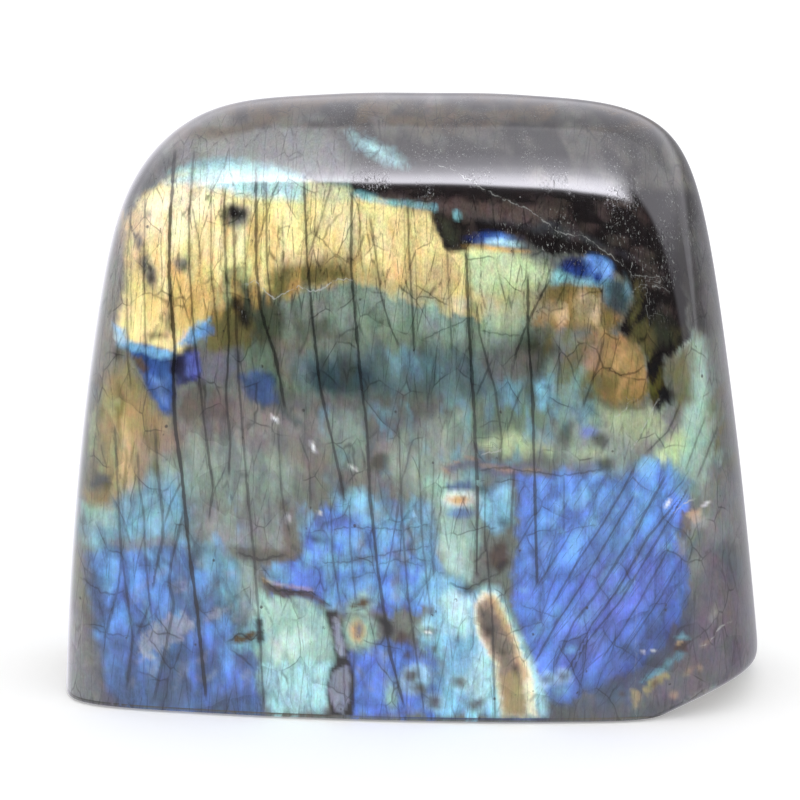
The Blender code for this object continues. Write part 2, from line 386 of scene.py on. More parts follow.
    "blue right": ("royal", 5, 4, 1.0, (514, 474), (560, 474), (600, 480), (640, 474), (662, 462),
        (692, 480), (686, 520), (692, 562), (684, 610), (660, 650), (600, 690), (560, 706), (546, 700),
        (530, 650), (514, 606), (516, 560), (520, 520)),
    "blue right glow": ("azure", 20, 6, 0.75, (560, 480), (640, 476), (680, 486), (650, 540), (590, 580),
        (560, 560), (590, 520)),
    "blue right glow two": ("azure", 14, 5, 0.5, (526, 490), (560, 490), (560, 560), (530, 600), (522, 560)),
    "blue right glow three": ("azure", 12, 5, 0.5, (560, 610), (590, 590), (580, 640), (548, 672)),
    "blue right violet": ("violet", 20, 6, 0.7, (590, 560), (650, 540), (670, 580), (620, 640), (560, 680),
        (560, 640)),
    "blue right dusk": ("plum", 18, 6, 0.6, (600, 690), (640, 640), (680, 590), (700, 600), (690, 660),
        (640, 700)),
    "lime tongue": ("lagoon", 8, 4, 0.7, (660, 462), (690, 470), (700, 492), (680, 494)),
    "right border": ("lead", 6, 6, 0.8, (690, 480), (720, 470), (730, 520), (716, 560), (696, 570),
        (676, 540), (684, 510)),
    "right ochre": ("mist", 4, 4, 0.6, (680, 516), (696, 512), (698, 526), (684, 532)),
    "right foot": ("earth", 10, 5, 1.0, (716, 500), (742, 480), (756, 600), (756, 660), (700, 716),
        (640, 722), (650, 690), (690, 640), (700, 590), (698, 560)),
    "right stain": ("olive", 8, 5, 0.55, (664, 356), (684, 340), (700, 352), (694, 396), (676, 404),
        (668, 380)),
    "right gleam": ("slate", 8, 4, 0.8, (706, 470), (736, 440), (746, 540), (740, 600), (722, 560),
        (712, 520)),
    "teal foot": ("storm", 7, 4, 0.8, (590, 690), (630, 684), (636, 706), (596, 714)),
    # painted shade: a darker band along the bottom edge where the stone meets the floor
    "painted base shade": ("slate", 6, 5, 0.7, (540, 704), (600, 706), (690, 700), (690, 726), (540, 726)),
    "right edge grey": ("ash", 9, 4, 0.6, (700, 220), (720, 300), (740, 440), (760, 560), (735, 560),
        (722, 440), (704, 320), (690, 240)),
    "ink": ("ink", 2.5, 4, 1.0, (349, 176), (440, 150), (660, 150), (676, 230), (684, 300), (688, 336),
        (676, 350), (664, 360), (666, 384), (670, 400), (660, 412), (652, 400), (646, 378), (642, 352),
        (616, 331), (628, 308), (632, 300), (625, 285), (606, 262), (575, 254), (552, 256), (535, 243),
        (502, 236), (478, 233), (468, 246), (458, 252), (447, 247), (439, 236), (433, 212), (424, 203),
        (406, 202), (386, 200), (368, 195), (352, 193)),
    "crest shade": ("slate", 6, 4, 0.35, (360, 194), (440, 204), (560, 222), (640, 262), (600, 246),
        (500, 222), (400, 204)),
    "ink tint": ("umber", 5, 3, 0.8, (376, 197), (430, 199), (480, 202), (540, 207), (566, 214), (530, 224),
        (470, 216), (430, 212), (396, 207)),
    "ink olive": ("moss", 10, 5, 0.5, (640, 330), (668, 310), (676, 340), (656, 350)),
}

# Small things that lie across the lamellae, painted after them in the same way.
details = {
    "blue lobe": ("cobalt", 4, 4, 1.0, (130, 348), (150, 347), (168, 354), (173, 372), (173, 412),
        (164, 414), (152, 398), (144, 378), (132, 356)),
    "blue lobe glow": ("denim", 5, 4, 0.9, (150, 376), (166, 380), (168, 408), (156, 396)),
    "cyan lobe": ("sky", 3, 3, 0.9, (128, 342), (150, 348), (176, 352), (176, 358), (158, 358), (144, 353),
        (130, 350)),
    "blue chips": ("sky", 4, 5, 0.9, (176, 346), (186, 332), (198, 322), (210, 320), (206, 332), (194, 342)),
    "chip glow": ("azure", 4, 4, 0.7, (196, 334), (206, 324), (214, 328), (206, 340)),
    "plum lobe": ("plum", 4, 4, 1.0, (173, 354), (190, 350), (202, 360), (198, 380), (178, 386), (172, 372)),
    "violet lobe": ("violet", 4, 4, 0.8, (186, 352), (198, 352), (202, 372), (192, 380), (186, 372)),
    "lilac lobe": ("lilac", 6, 4, 0.5, (202, 358), (226, 350), (240, 346), (240, 366), (222, 384),
        (200, 382)),
    "navy pool": ("cobalt", 6, 5, 0.55, (240, 376), (256, 370), (272, 376), (276, 402), (262, 404),
        (246, 396)),
    "brown pocket": ("bark", 3, 3, 0.9, (132, 356), (142, 356), (148, 368), (144, 374), (134, 364)),
    "left ice": ("sky", 4, 3, 0.8, (114, 326), (124, 330), (130, 348), (118, 346)),
    "left inclusion": ("slate", 4, 4, 0.9, (88, 482), (98, 472), (110, 478), (106, 500), (92, 502)),
    "inclusion rim": ("olive", 3, 3, 0.8, (104, 482), (112, 484), (110, 502), (96, 504), (98, 498),
        (104, 496)),
    "inclusion glow": ("mint", 7, 4, 0.8, (84, 506), (98, 504), (116, 510), (116, 524), (92, 528)),
    "freckle row": ("mauve", 4, 7, 0.6, (108, 538), (140, 540), (172, 536), (174, 544), (140, 550),
        (110, 548)),
    "mottle": ("pearl", 4, 9, 0.85, (137, 652), (146, 632), (160, 618), (182, 614), (194, 626), (184, 638),
        (166, 646), (150, 656)),
    "mottle stroke": ("pearl", 3, 5, 0.7, (206, 620), (216, 608), (232, 606), (222, 618)),
    "trail": ("taupe", 5, 5, 0.85, (278, 500), (288, 504), (298, 530), (304, 552), (290, 562), (284, 544),
        (282, 520)),
    "trail low": ("taupe", 4, 5, 0.85, (230, 548), (262, 548), (296, 552), (300, 560), (262, 562),
        (234, 558)),
    "brown lens": ("umber", 2, 3, 0.9, (262, 580), (270, 584), (282, 586), (298, 590), (312, 592),
        (330, 606), (312, 598), (296, 596), (282, 598), (270, 592)),
    "lens rim": ("amber", 2, 2, 0.35, (262, 578), (272, 581), (298, 586), (314, 589), (312, 592), (282, 587),
        (264, 582)),
    "pebble rim": ("mint", 4, 3, 0.8, (346, 602), (360, 592), (378, 596), (380, 604), (362, 614),
        (348, 610)),
    "pebble": ("bark", 3, 3, 0.95, (350, 606), (362, 598), (376, 600), (364, 608)),
    "foot shade": ("soot", 2, 2, 0.9, (330, 668), (350, 660), (355, 676), (354, 716), (330, 716),
        (326, 690)),
    "foot": ("pearl", 2, 2, 0.75, (332, 672), (348, 664), (351, 680), (349, 700), (344, 714), (334, 712),
        (328, 690)),
    "stem": ("soot", 3, 4, 0.9, (326, 612), (336, 610), (346, 632), (350, 662), (336, 668), (334, 644)),
    "stem heart": ("pearl", 2, 3, 0.85, (333, 618), (338, 616), (344, 640), (346, 656), (339, 656),
        (335, 640)),
    "squiggle halo": ("aqua", 5, 4, 0.6, (226, 642), (240, 628), (262, 616), (266, 640), (250, 650),
        (232, 652)),
    "squiggle": ("bark", 2, 3, 0.95, (231, 643), (236, 634), (244, 636), (252, 630), (258, 632), (252, 640),
        (240, 643)),
    "squiggle head": ("soot", 2, 3, 0.9, (256, 620), (262, 618), (263, 640), (257, 642)),
    "mauve trail": ("lilac", 3, 6, 0.85, (444, 466), (470, 458), (500, 466), (530, 464), (552, 470),
        (550, 476), (520, 474), (494, 474), (470, 468), (448, 474)),
    "band fringe": ("ice", 6, 3, 0.9, (482, 588), (498, 588), (522, 640), (546, 692), (546, 716), (494, 716),
        (480, 650), (472, 612)),
    "band rim": ("cream", 3, 3, 0.85, (474, 606), (482, 592), (496, 592), (512, 626), (532, 676), (538, 716),
        (502, 716), (494, 664), (476, 634)),
    "band rim glow": ("honey", 3, 3, 0.75, (484, 594), (496, 596), (510, 628), (528, 676), (522, 684),
        (504, 640), (490, 608)),
    "band core": ("rose", 4, 3, 0.95, (477, 606), (486, 598), (500, 616), (514, 648), (524, 684), (528, 716),
        (504, 716), (497, 664), (480, 634)),
    "band grey": ("taupe", 5, 5, 0.6, (479, 606), (488, 602), (500, 620), (512, 648), (520, 684), (508, 696),
        (498, 660), (481, 632)),
    "band shade": ("taupe", 4, 4, 0.8, (480, 612), (490, 610), (498, 634), (506, 646), (496, 648),
        (484, 630)),
    "band foot": ("khaki", 5, 4, 0.75, (502, 676), (518, 672), (526, 716), (504, 716)),
    "grey rust": ("lead", 4, 5, 0.9, (482, 538), (508, 532), (514, 548), (508, 570), (492, 580), (484, 566)),
    "rust heart": ("umber", 4, 5, 0.9, (490, 546), (504, 540), (508, 556), (500, 572), (490, 566)),
    "dusk notch": ("cobalt", 4, 4, 0.7, (446, 484), (470, 480), (476, 488), (450, 494)),
    "crest moss": ("soot", 3, 6, 0.95, (432, 212), (444, 210), (454, 220), (470, 232), (468, 244),
        (456, 250), (446, 246), (441, 232)),
    "crest stone": ("moss", 4, 6, 0.7, (436, 216), (446, 216), (456, 236), (454, 246), (446, 240)),
    "shoulder pocket": ("bark", 3, 5, 0.6, (676, 522), (682, 510), (692, 512), (690, 530), (682, 538)),
    "pocket glow": ("peach", 3, 4, 0.55, (688, 512), (700, 509), (704, 519), (694, 524)),
    "margin cream": ("khaki", 6, 5, 0.6, (82, 492), (98, 488), (116, 492), (112, 508), (90, 508)),
    "left foot mist": ("mist", 9, 5, 0.6, (60, 610), (80, 612), (92, 650), (100, 700), (60, 712)),
    "right mist": ("mist", 8, 7, 0.4, (700, 474), (722, 462), (740, 500), (738, 540), (714, 546),
        (702, 520)),
    "corner ochre": ("umber", 3, 4, 0.9, (672, 646), (682, 640), (690, 642), (686, 652), (674, 654)),
    "corner pale": ("peach", 2, 3, 0.6, (674, 645), (678, 640), (683, 641), (678, 645)),
    "corner cyan": ("aqua", 3, 3, 0.7, (674, 639), (682, 634), (690, 638), (683, 639)),
    "corner stroke": ("khaki", 3, 5, 0.75, (640, 690), (648, 680), (664, 672), (668, 676), (656, 684),
        (646, 694)),
    "corner stroke cyan": ("lagoon", 3, 4, 0.8, (640, 684), (646, 676), (662, 666), (680, 650), (684, 654),
        (664, 671)),
    "corner tail": ("khaki", 4, 5, 0.6, (632, 690), (640, 690), (640, 706), (634, 710)),
    "corner smear": ("mist", 5, 6, 0.5, (708, 618), (714, 606), (720, 610), (712, 624)),
    # painted reflection: the pale floor mirrored in the bevel of the undercut corner
    "painted bevel reflection": ("mist", 3, 3, 0.7, (683, 700), (700, 692), (718, 685), (712, 692), (694, 704)),
    "tan rim": ("bark", 4, 4, 0.5, (586, 382), (596, 396), (616, 402), (640, 406), (650, 396), (644, 410),
        (612, 412), (588, 396)),
}

# Round marks, in the same way: tint, softness, strength, then the middle, the two radii and
# the turn in degrees of each.
blots = {
    "gold rims": ("aqua", 3, 0.9, (366, 197, 14, 4, 18), (392, 203, 10, 2.5, 5), (418, 205, 12, 3, 8),
        (570, 275, 12, 4, -30)),
    "pool rim": ("azure", 4, 0.9, (596, 270, 17, 14, 20), (498, 239, 14, 4, 0)),
    "pool cyan": ("aqua", 4, 0.8, (560, 276, 10, 7, -40), (586, 281, 22, 4, 5)),
    "blue pool": ("navy", 4, 0.95, (485, 237, 13, 4, -5), (576, 268, 17, 9, 10), (598, 278, 5, 5, 0)),
    "pool shade": ("deepTeal", 5, 0.95, (617, 297, 13, 17, -10)),
    "pool gleam": ("lagoon", 4, 0.6, (606, 288, 3, 10, 0), (628, 290, 3, 8, -10)),
    "pool ink": ("ink", 5, 0.7, (574, 262, 14, 5, 10)),
    "pool fringe": ("ice", 2.5, 0.95, (505, 243, 15, 3.5, 6)),
    "pool ember": ("amber", 2.5, 0.8, (498, 249, 20, 2, 5)),
    "crest speck": ("aqua", 2, 0.9, (457, 215, 3, 5, -10), (434, 208, 3, 4, 20)),
    "grey freckles": ("slate", 5, 0.85, (151, 276, 7, 16, -5), (182, 264, 7, 8, 0), (139, 240, 4, 7, -20),
        (236, 216, 14, 12, 0), (144, 262, 5, 8, 20)),
    "freckle hearts": ("soot", 4, 0.8, (151, 277, 3, 6, 0), (139, 244, 2.5, 4, 0), (184, 268, 3, 3, 0),
        (160, 335, 11, 3, -8), (169, 318, 3, 12, 0), (148, 214, 3, 3, 0)),
    "sable freckles": ("ink", 4, 0.9, (238, 214, 9, 5, 5), (225, 218, 3, 12, 0), (232, 210, 6, 4, 30),
        (243, 316, 6, 12, -20), (236, 304, 5, 8, 0)),
    "cyan flash": ("ice", 8, 0.8, (376, 150, 20, 6, 28)),
    "violet spot": ("violet", 4, 0.7, (589, 432, 8, 5, 0)),
    "ember eye": ("frost", 4, 0.95, (459, 499, 18, 8, 0)),
    "ember eye gold": ("peach", 3, 0.8, (459, 500, 12, 5, 0)),
    "ember eye heart": ("honey", 3, 0.9, (459, 500, 8, 3, 0)),
    "ember eye lid": ("denim", 4, 0.8, (461, 513, 12, 5, 0)),
    "owl eye": ("mint", 7, 0.95, (361, 632, 16, 18, -12)),
    "owl eye gold": ("honey", 4, 0.85, (358, 631, 8, 12, -8)),
    "owl eye heart": ("lilac", 3, 0.9, (359, 630, 3, 7, 10)),
    "star": ("soot", 4, 0.85, (389, 630, 6, 7, 0), (384, 622, 8, 3, 30)),
    "cream oval": ("mint", 5, 0.9, (391, 695, 6, 14, -8)),
    "lake halos": ("glow", 5, 0.5, (415, 680, 18, 14, -20), (460, 683, 11, 9, 30), (430, 630, 13, 9, 0),
        (547, 680, 9, 8, 0), (563, 677, 8, 7, 0), (434, 702, 10, 9, 0)),
    "lake spots": ("umber", 4, 0.85, (412, 676, 8, 6, -20), (420, 688, 7, 5, 20), (429, 631, 8, 4, 0),
        (459, 682, 6, 5, 30), (402, 638, 7, 8, -10), (477, 704, 7, 4, -40), (434, 702, 6, 6, 0),
        (408, 655, 2.5, 3, 0), (423, 655, 2.5, 2, 0), (435, 648, 3, 3, 0), (431, 612, 3, 4, 0)),
    "sable spots": ("soot", 4, 0.65, (316, 539, 8, 3, 10), (342, 489, 4, 10, 0), (380, 462, 8, 10, 30),
        (600, 440, 9, 7, 30), (606, 464, 8, 7, 0), (566, 434, 7, 13, 10), (671, 396, 5, 6, 0),
        (502, 566, 7, 4, -30), (467, 589, 5, 6, 0), (484, 489, 7, 4, 0), (502, 522, 4, 4, 0),
        (489, 632, 4, 5, 0), (503, 652, 3, 3, 30), (516, 668, 2, 5, -10), (117, 353, 4, 6, 0),
        (188, 348, 6, 5, 0), (546, 679, 6, 5, 0), (563, 677, 5, 4, 0)),
    "rust spots": ("umber", 3, 0.8, (622, 694, 3, 2, 0), (654, 684, 5, 2, -40)),
    "rose spots": ("rose", 3, 0.7, (700, 668, 3, 3, 0), (674, 695, 4, 4, 20), (689, 671, 4, 2, -40),
        (706, 643, 4, 2, -30)),
    "trail flecks": ("rose", 2, 0.75, (446, 471, 4, 2, 40), (456, 462, 6, 1.5, -20), (471, 458, 5, 1.5, 10),
        (488, 466, 6, 1.5, 5), (507, 470, 7, 2, 5), (531, 470, 6, 1.5, 0)),
    # painted highlights: bright glints on small chips
    "painted chip glints": ("white", 1.5, 0.9, (274, 418, 4, 1.5, 40), (313, 447, 2, 5, -20), (288, 518, 1.5, 4, 0),
        (320, 513, 2, 1.5, 0), (353, 468, 4, 1.5, 40), (668, 503, 1.5, 4, 30), (428, 632, 3, 1.5, 0),
        (643, 652, 2, 1, 0), (653, 651, 2, 1, 0), (706, 504, 3, 1, -30)),
    "rust rims": ("lagoon", 4, 0.6, (560, 690, 10, 6, -30)),
    "left panes": ("azure", 6, 0.6, (106, 566, 9, 16, 10), (118, 616, 8, 10, 20), (136, 580, 8, 16, 0),
        (100, 632, 7, 6, 0), (160, 596, 6, 12, 0), (200, 580, 8, 10, 0), (214, 630, 10, 5, -10),
        (226, 660, 6, 14, 0)),
    "blue bubbles": ("sky", 3, 0.6, (612, 493, 3, 3, 0), (616, 509, 3, 3, 0), (595, 524, 4, 3, 0),
        (637, 494, 4, 3, 0), (562, 532, 3, 3, 0), (524, 590, 4, 3, 0), (571, 650, 6, 4, -30),
        (668, 548, 4, 5, 0)),
    "azure panes": ("sky", 5, 0.6, (364, 522, 8, 7, 0), (344, 586, 6, 10, 20), (326, 560, 8, 8, 0),
        (348, 565, 8, 6, 0), (388, 566, 8, 8, 0), (404, 590, 8, 8, 0), (338, 536, 7, 7, 0),
        (376, 596, 7, 9, 0), (392, 520, 6, 6, 0), (420, 590, 6, 10, 0), (648, 466, 12, 9, -20),
        (580, 500, 14, 8, -40)),
    "plum heart": ("ink", 5, 0.8, (178, 366, 5, 9, 0)),
    "smoke": ("lead", 8, 0.7, (247, 556, 14, 5, 8), (330, 480, 5, 14, 0), (300, 520, 8, 14, 20)),
    "right cream": ("mist", 6, 0.6, (700, 520, 8, 6, 0), (697, 566, 6, 8, 0), (682, 548, 6, 8, 0)),
}


# Streaks of the body that show through the play of colour: tint, share covered, strength, slope
# to the left, width and length of a streak in pixels, and the outline they stay in.
veils = {
    "left": ("storm", 0.5, 0.6, 0, 8, 60, (84, 550), (200, 540), (262, 640), (268, 720), (100, 720)),
    "left foot": ("storm", 0.4, 0.5, 0, 16, 24, (110, 650), (262, 650), (268, 720), (110, 720)),
    "right": ("storm", 0.34, 0.45, 0.6, 12, 60, (520, 480), (700, 480), (700, 560), (660, 700), (540, 716)),
    "right glow": ("sky", 0.22, 0.5, 0.6, 14, 34, (530, 470), (690, 470), (690, 560), (600, 640),
        (530, 640)),
    "left sky": ("sky", 0.24, 0.5, 0, 10, 26, (96, 500), (240, 500), (250, 620), (110, 640)),
    "left pearl": ("pearl", 0.16, 0.5, 0.5, 14, 14, (130, 560), (260, 560), (250, 690), (130, 690)),
    "top": ("margin", 0.44, 0.5, -0.4, 26, 40, (150, 86), (700, 86), (720, 190), (350, 176), (300, 156),
        (130, 156)),
    "top brown": ("bark", 0.44, 0.7, 0.3, 34, 12, (160, 80), (690, 80), (700, 126), (160, 140)),
    "top dark": ("ink", 0.34, 0.7, -0.2, 18, 14, (160, 80), (690, 80), (700, 124), (160, 136)),
    "ink brown": ("umber", 0.3, 0.5, -0.4, 20, 12, (380, 190), (640, 200), (680, 330), (600, 250),
        (440, 240)),
    "field": ("storm", 0.2, 0.5, 0, 7, 30, (290, 520), (440, 500), (450, 716), (330, 716)),
    "field light": ("sky", 0.42, 0.7, 0, 10, 20, (296, 505), (430, 505), (440, 610), (300, 610)),
    "field pale": ("mauve", 0.2, 0.6, 0, 12, 16, (350, 500), (480, 480), (480, 716), (340, 716)),
    "belt": ("slate", 0.36, 0.5, 0, 9, 40, (180, 390), (560, 390), (560, 470), (300, 540), (180, 520)),
    "belt sage": ("paleSage", 0.3, 0.5, 0, 12, 30, (170, 430), (280, 430), (290, 500), (180, 540)),
    "belt sky": ("lagoon", 0.26, 0.6, 0, 12, 24, (320, 410), (600, 380), (600, 440), (420, 500), (320, 500)),
    "sage": ("moss", 0.28, 0.5, 0, 9, 44, (240, 290), (560, 300), (560, 400), (250, 400)),
    "sage pale": ("paleSage", 0.36, 0.5, 0, 14, 30, (300, 285), (560, 300), (540, 350), (320, 330)),
    "copper": ("olive", 0.38, 0.7, 0.5, 8, 24, (530, 280), (640, 280), (670, 410), (560, 400)),
    "gold": ("amber", 0.36, 0.5, 0, 6, 60, (120, 210), (410, 214), (444, 262), (480, 300), (350, 280),
        (140, 340)),
    "gold pale": ("cream", 0.34, 0.6, 0, 12, 60, (140, 200), (400, 216), (424, 256), (200, 264), (170, 330)),
    "gold net": ("copper", 0.2, 0.5, 0.2, 3, 26, (300, 214), (420, 224), (440, 290), (350, 276), (180, 330),
        (170, 250)),
    "margin": ("olive", 0.28, 0.6, 0, 6, 34, (96, 380), (150, 380), (170, 470), (96, 500)),
    "right pale": ("mint", 0.26, 0.45, 0.4, 9, 30, (690, 340), (716, 340), (738, 520), (700, 500)),
    "margin pale": ("celadon", 0.25, 0.5, 0, 6, 30, (86, 400), (120, 400), (120, 500), (86, 500)),
    "right edge": ("olive", 0.25, 0.5, 0.4, 7, 40, (660, 330), (730, 330), (740, 520), (680, 520)),
}


def scatter(i, j, seed):              # a sine hash: a repeatable 0 to 1 for each whole-numbered place
    mixed = np.sin(i * 127.1 + j * 311.7 + seed * 74.7) * 43758.5453
    return mixed - np.floor(mixed)


def clouds(x, y, seed, octaves=3):    # smooth noise about 0, within 1
    total, size = 0, 1.0
    for _ in range(octaves):
        i, j = np.floor(x), np.floor(y)
        u, v = x - i, y - j
        u, v = u * u * (3 - 2 * u), v * v * (3 - 2 * v)
        low = scatter(i, j, seed) * (1 - u) + scatter(i + 1, j, seed) * u
        high = scatter(i, j + 1, seed) * (1 - u) + scatter(i + 1, j + 1, seed) * u
        total = total + size * (2 * (low * (1 - v) + high * v) - 1)
        x, y, seed, size = x * 2.03 + 17.3, y * 2.03 - 9.1, seed + 1, size / 2
    return total / (2 - 2 * size)


# The grain of the painting: size across and down in pixels, then seed and octaves of its noise.
grains = {
    "bend": (150, 60, 61, 3),
    "sway": (16, 22, 11, 3),
    "border": (9, 9, 3, 3),
    "fine border": (3.1, 4.5, 8, 2),
    "pearl": (11, 17, 90, 3),
    "fine pearl": (4, 9, 120, 3),
    "flank body": (60, 90, 21, 3),
    "flank hue": (150, 110, 33, 3),
    "flank patches": (110, 80, 47, 3),
    "flank rags": (9, 30, 51, 3),
}


def grain(x, y, name, more=0):
    across, down, seed, octaves = grains[name]
    return clouds(x / across, y / down, seed + more, octaves)


def depthIn(x, y, outline):           # how far inside an outline, negative outside
    nearest = np.full(x.shape, np.inf)
    inside = np.zeros(x.shape, bool)
    for (ax, ay), (bx, by) in zip(outline, outline[1:] + outline[:1]):
        ex, ey = bx - ax, by - ay
        along = np.clip(((x - ax) * ex + (y - ay) * ey) / (ex * ex + ey * ey), 0, 1)
        nearest = np.minimum(nearest, np.hypot(x - ax - along * ex, y - ay - along * ey))
        if ey:
            inside ^= ((ay > y) != (by > y)) & (x < ax + (y - ay) * ex / ey)
    return np.where(inside, nearest, -nearest)


def eased(share):
    share = np.clip(share, 0, 1)
    return share * share * (3 - 2 * share)


def layColour(colours, here, tint, cover):
    cover = cover[:, None]
    colours[here] = colours[here] * (1 - cover) + linear(*tints[tint]) * cover


# The crystal's lamellae run down the picture and shift what they carry against each other.
lamellae = {
    "width": 7.5,
    "hop": 9,
    "hopStart": (235, 320),           # above this the lamellae lie nearly even
    "hopLeast": 0.2,
    "hopSeed": 5,
    "lean": ((330, 0), (395, 2), (470, 9), (566, 21), (693, 34)),
    "sway": 5,
}


def drifted(x, y):
    leanY, lean = np.transpose(lamellae["lean"])
    across = (x - np.interp(y, leanY, lean)) / lamellae["width"] + grain(y, x, "bend")
    hop = scatter(np.floor(across), 0, lamellae["hopSeed"]) - 0.5
    low, high = lamellae["hopStart"]
    least = lamellae["hopLeast"]
    hop = hop * lamellae["hop"] * (least + (1 - least) * eased((y - low) / (high - low)))
    return x + lamellae["sway"] * grain(x, y, "sway"), y + hop


brush = {
    "reach": 40,                      # pixels round an outline within which it is worked out
    "border": (0.7, 0.5),             # how strong the coarse and the fine wander of a border are
    "veilContrast": 1.6,
    "veilSoftness": 1.1,
    "veilBorder": 16,
    "veilSeeds": (70, 3),             # the first one and the step to the next
    "blotReach": (2.5, 10),           # in radii, and pixels more
    "blotWander": 0.6,
    "pearl": (0.1, 0.07),
    "pearlStep": 5,
}


def layZones(colours, x, y, table, wander):
    for tint, soft, ragged, strength, *outline in table.values():
        low, high = np.min(outline, axis=0) - brush["reach"], np.max(outline, axis=0) + brush["reach"]
        here = np.flatnonzero((x > low[0]) & (x < high[0]) & (y > low[1]) & (y < high[1]))
        depth = depthIn(x[here], y[here], outline) + wander[here] * ragged
        layColour(colours, here, tint, strength * eased(0.5 + depth / soft / 2))


def layVeils(colours, x, y, driftX, driftY):
    seed, seedStep = brush["veilSeeds"]
    for tint, share, strength, slope, width, length, *outline in veils.values():
        depth = depthIn(x, y, outline)
        streaks = clouds((driftX + slope * driftY) / width, driftY / length, seed)
        cover = (streaks * brush["veilContrast"] + share * 2 - 1) / brush["veilSoftness"]
        cover = eased(cover + 0.5) * eased(depth / brush["veilBorder"] + 0.5)
        layColour(colours, slice(None), tint, strength * cover)
        seed += seedStep


def layBlots(colours, x, y, wander):
    radii, margin = brush["blotReach"]
    for tint, soft, strength, *marks in blots.values():
        for middleX, middleY, radiusX, radiusY, turn in marks:
            reach = radii * max(radiusX, radiusY) + margin
            here = np.flatnonzero(np.hypot(x - middleX, y - middleY) < reach)
            dx, dy = x[here] - middleX, y[here] - middleY
            c, s = cos(radians(turn)), sin(radians(turn))
            away = np.hypot((dx * c + dy * s) / radiusX, (dy * c - dx * s) / radiusY)
            depth = (1 - away) * min(radiusX, radiusY) + wander[here] * soft * brush["blotWander"]
            layColour(colours, here, tint, strength * eased(0.5 + depth / soft / 2))


def paintFront(x, y):                 # the colour of each spot as it looks under the polish
    driftX, driftY = drifted(x, y)
    colours = np.tile(linear(*tints["lead"]), (len(x), 1))
    coarse, fine = brush["border"]
    wander = grain(driftX, driftY, "border") * coarse + grain(driftX, driftY, "fine border") * fine
    layZones(colours, driftX, driftY, zones, wander)
    layVeils(colours, x, y, driftX, driftY)
    layZones(colours, x, y, details, wander)
    layBlots(colours, x, y, wander)
    coarse, fine = brush["pearl"]
    for channel in range(3):          # a pearly unevenness of its own in each primary
        seed = channel * brush["pearlStep"]
        tone = grain(x, y, "pearl", seed) * coarse + grain(x, y, "fine pearl", seed) * fine
        colours[:, channel] *= 1 + tone
    return colours


# Cleavage lines, from left to right, in the same pixels. Each has its width, how dark it is and
# its points from the top down. Lines of one family never cross.
uprights = {
    "rim of gold": (2.4, 0.5, (131, 206), (127, 262), (127, 317), (128, 362), (131, 387)),
    "left margin": (3.2, 0.55, (115, 425), (117, 475), (121, 551), (129, 609), (133, 638), (127, 687)),
    "left second": (3.2, 0.5, (138, 452), (139, 486), (144, 515), (145, 553), (150, 604), (137, 636)),
    "gold second": (2.2, 0.55, (145, 195), (144, 262), (145, 329), (147, 386)),
    "left third": (3.8, 0.55, (155, 430), (158, 475), (162, 508), (163, 537), (152, 588)),
    "left fourth": (4.2, 0.55, (172, 555), (169, 582), (174, 604), (167, 642), (154, 700)),
    "great left": (4.8, 0.85, (175, 150), (170, 217), (169, 275), (175, 351), (173, 373), (175, 427),
        (182, 475), (189, 551), (197, 609), (206, 698)),
    "gold third": (3.0, 0.65, (194, 150), (189, 217), (189, 262), (194, 335), (205, 429), (213, 488),
        (209, 519)),
    "gold fourth": (2.0, 0.55, (211, 190), (211, 272), (216, 318)),
    "gold fifth": (3.0, 0.65, (225, 190), (224, 217), (229, 340), (226, 395), (230, 440), (229, 474)),
    "long centre": (3.4, 0.6, (233, 195), (235, 295), (239, 384), (246, 475), (254, 555), (259, 620),
        (264, 709)),
    "gold sixth": (2.0, 0.5, (244, 195), (245, 262), (250, 311)),
    "dark leader": (4.2, 0.75, (256, 168), (256, 262), (260, 306), (268, 335), (275, 354), (285, 409)),
    "dark second": (2.6, 0.65, (266, 181), (267, 262), (271, 302)),
    "lower centre": (2.6, 0.5, (278, 429), (281, 486), (284, 508), (290, 534)),
    "gold faint": (1.8, 0.35, (282, 211), (284, 267), (281, 293)),
    "centre slope": (2.4, 0.45, (299, 436), (309, 462), (311, 504)),
    "great middle": (3.6, 0.75, (304, 179), (307, 257), (313, 324), (320, 387), (334, 449), (345, 500)),
    "grid first": (2.2, 0.5, (331, 505), (332, 553), (340, 602)),
    "grid second": (2.4, 0.5, (350, 498), (350, 542), (356, 604)),
    "second middle": (4.0, 0.75, (352, 190), (351, 266), (360, 373), (367, 430), (370, 497), (377, 564),
        (390, 653), (404, 706)),
    "companion": (1.6, 0.5, (359, 196), (361, 257), (363, 272)),
    "bowed": (2.6, 0.6, (370, 217), (376, 257), (381, 295), (390, 326), (399, 346)),
    "grid third": (2.6, 0.55, (399, 430), (402, 519), (408, 597), (424, 710)),
    "right thin": (2.8, 0.65, (408, 206), (409, 250), (413, 320), (414, 352)),
    "grid fourth": (2.6, 0.5, (418, 430), (422, 537), (430, 609)),
    "grid fifth": (2.0, 0.45, (434, 459), (431, 542), (434, 578)),
    "sage line": (2.0, 0.5, (447, 246), (450, 317), (452, 351)),
    "great right": (4.8, 0.75, (466, 250), (469, 329), (474, 407), (478, 504), (477, 575)),
    "bowed right": (3.0, 0.6, (476, 302), (480, 335), (495, 389), (502, 438), (500, 463)),
    "band line": (3.0, 0.65, (484, 486), (484, 530), (492, 609), (495, 716)),
    "blue first": (3.2, 0.55, (514, 470), (512, 504), (511, 530)),
    "tall right": (3.8, 0.75, (528, 275), (528, 329), (533, 407), (535, 500), (537, 585)),
    "cyan short": (2.2, 0.5, (559, 346), (559, 369), (557, 396)),
    "blue thin": (1.8, 0.45, (564, 475), (564, 537)),
    "tan edge": (3.0, 0.55, (603, 340), (599, 362), (583, 407)),
}
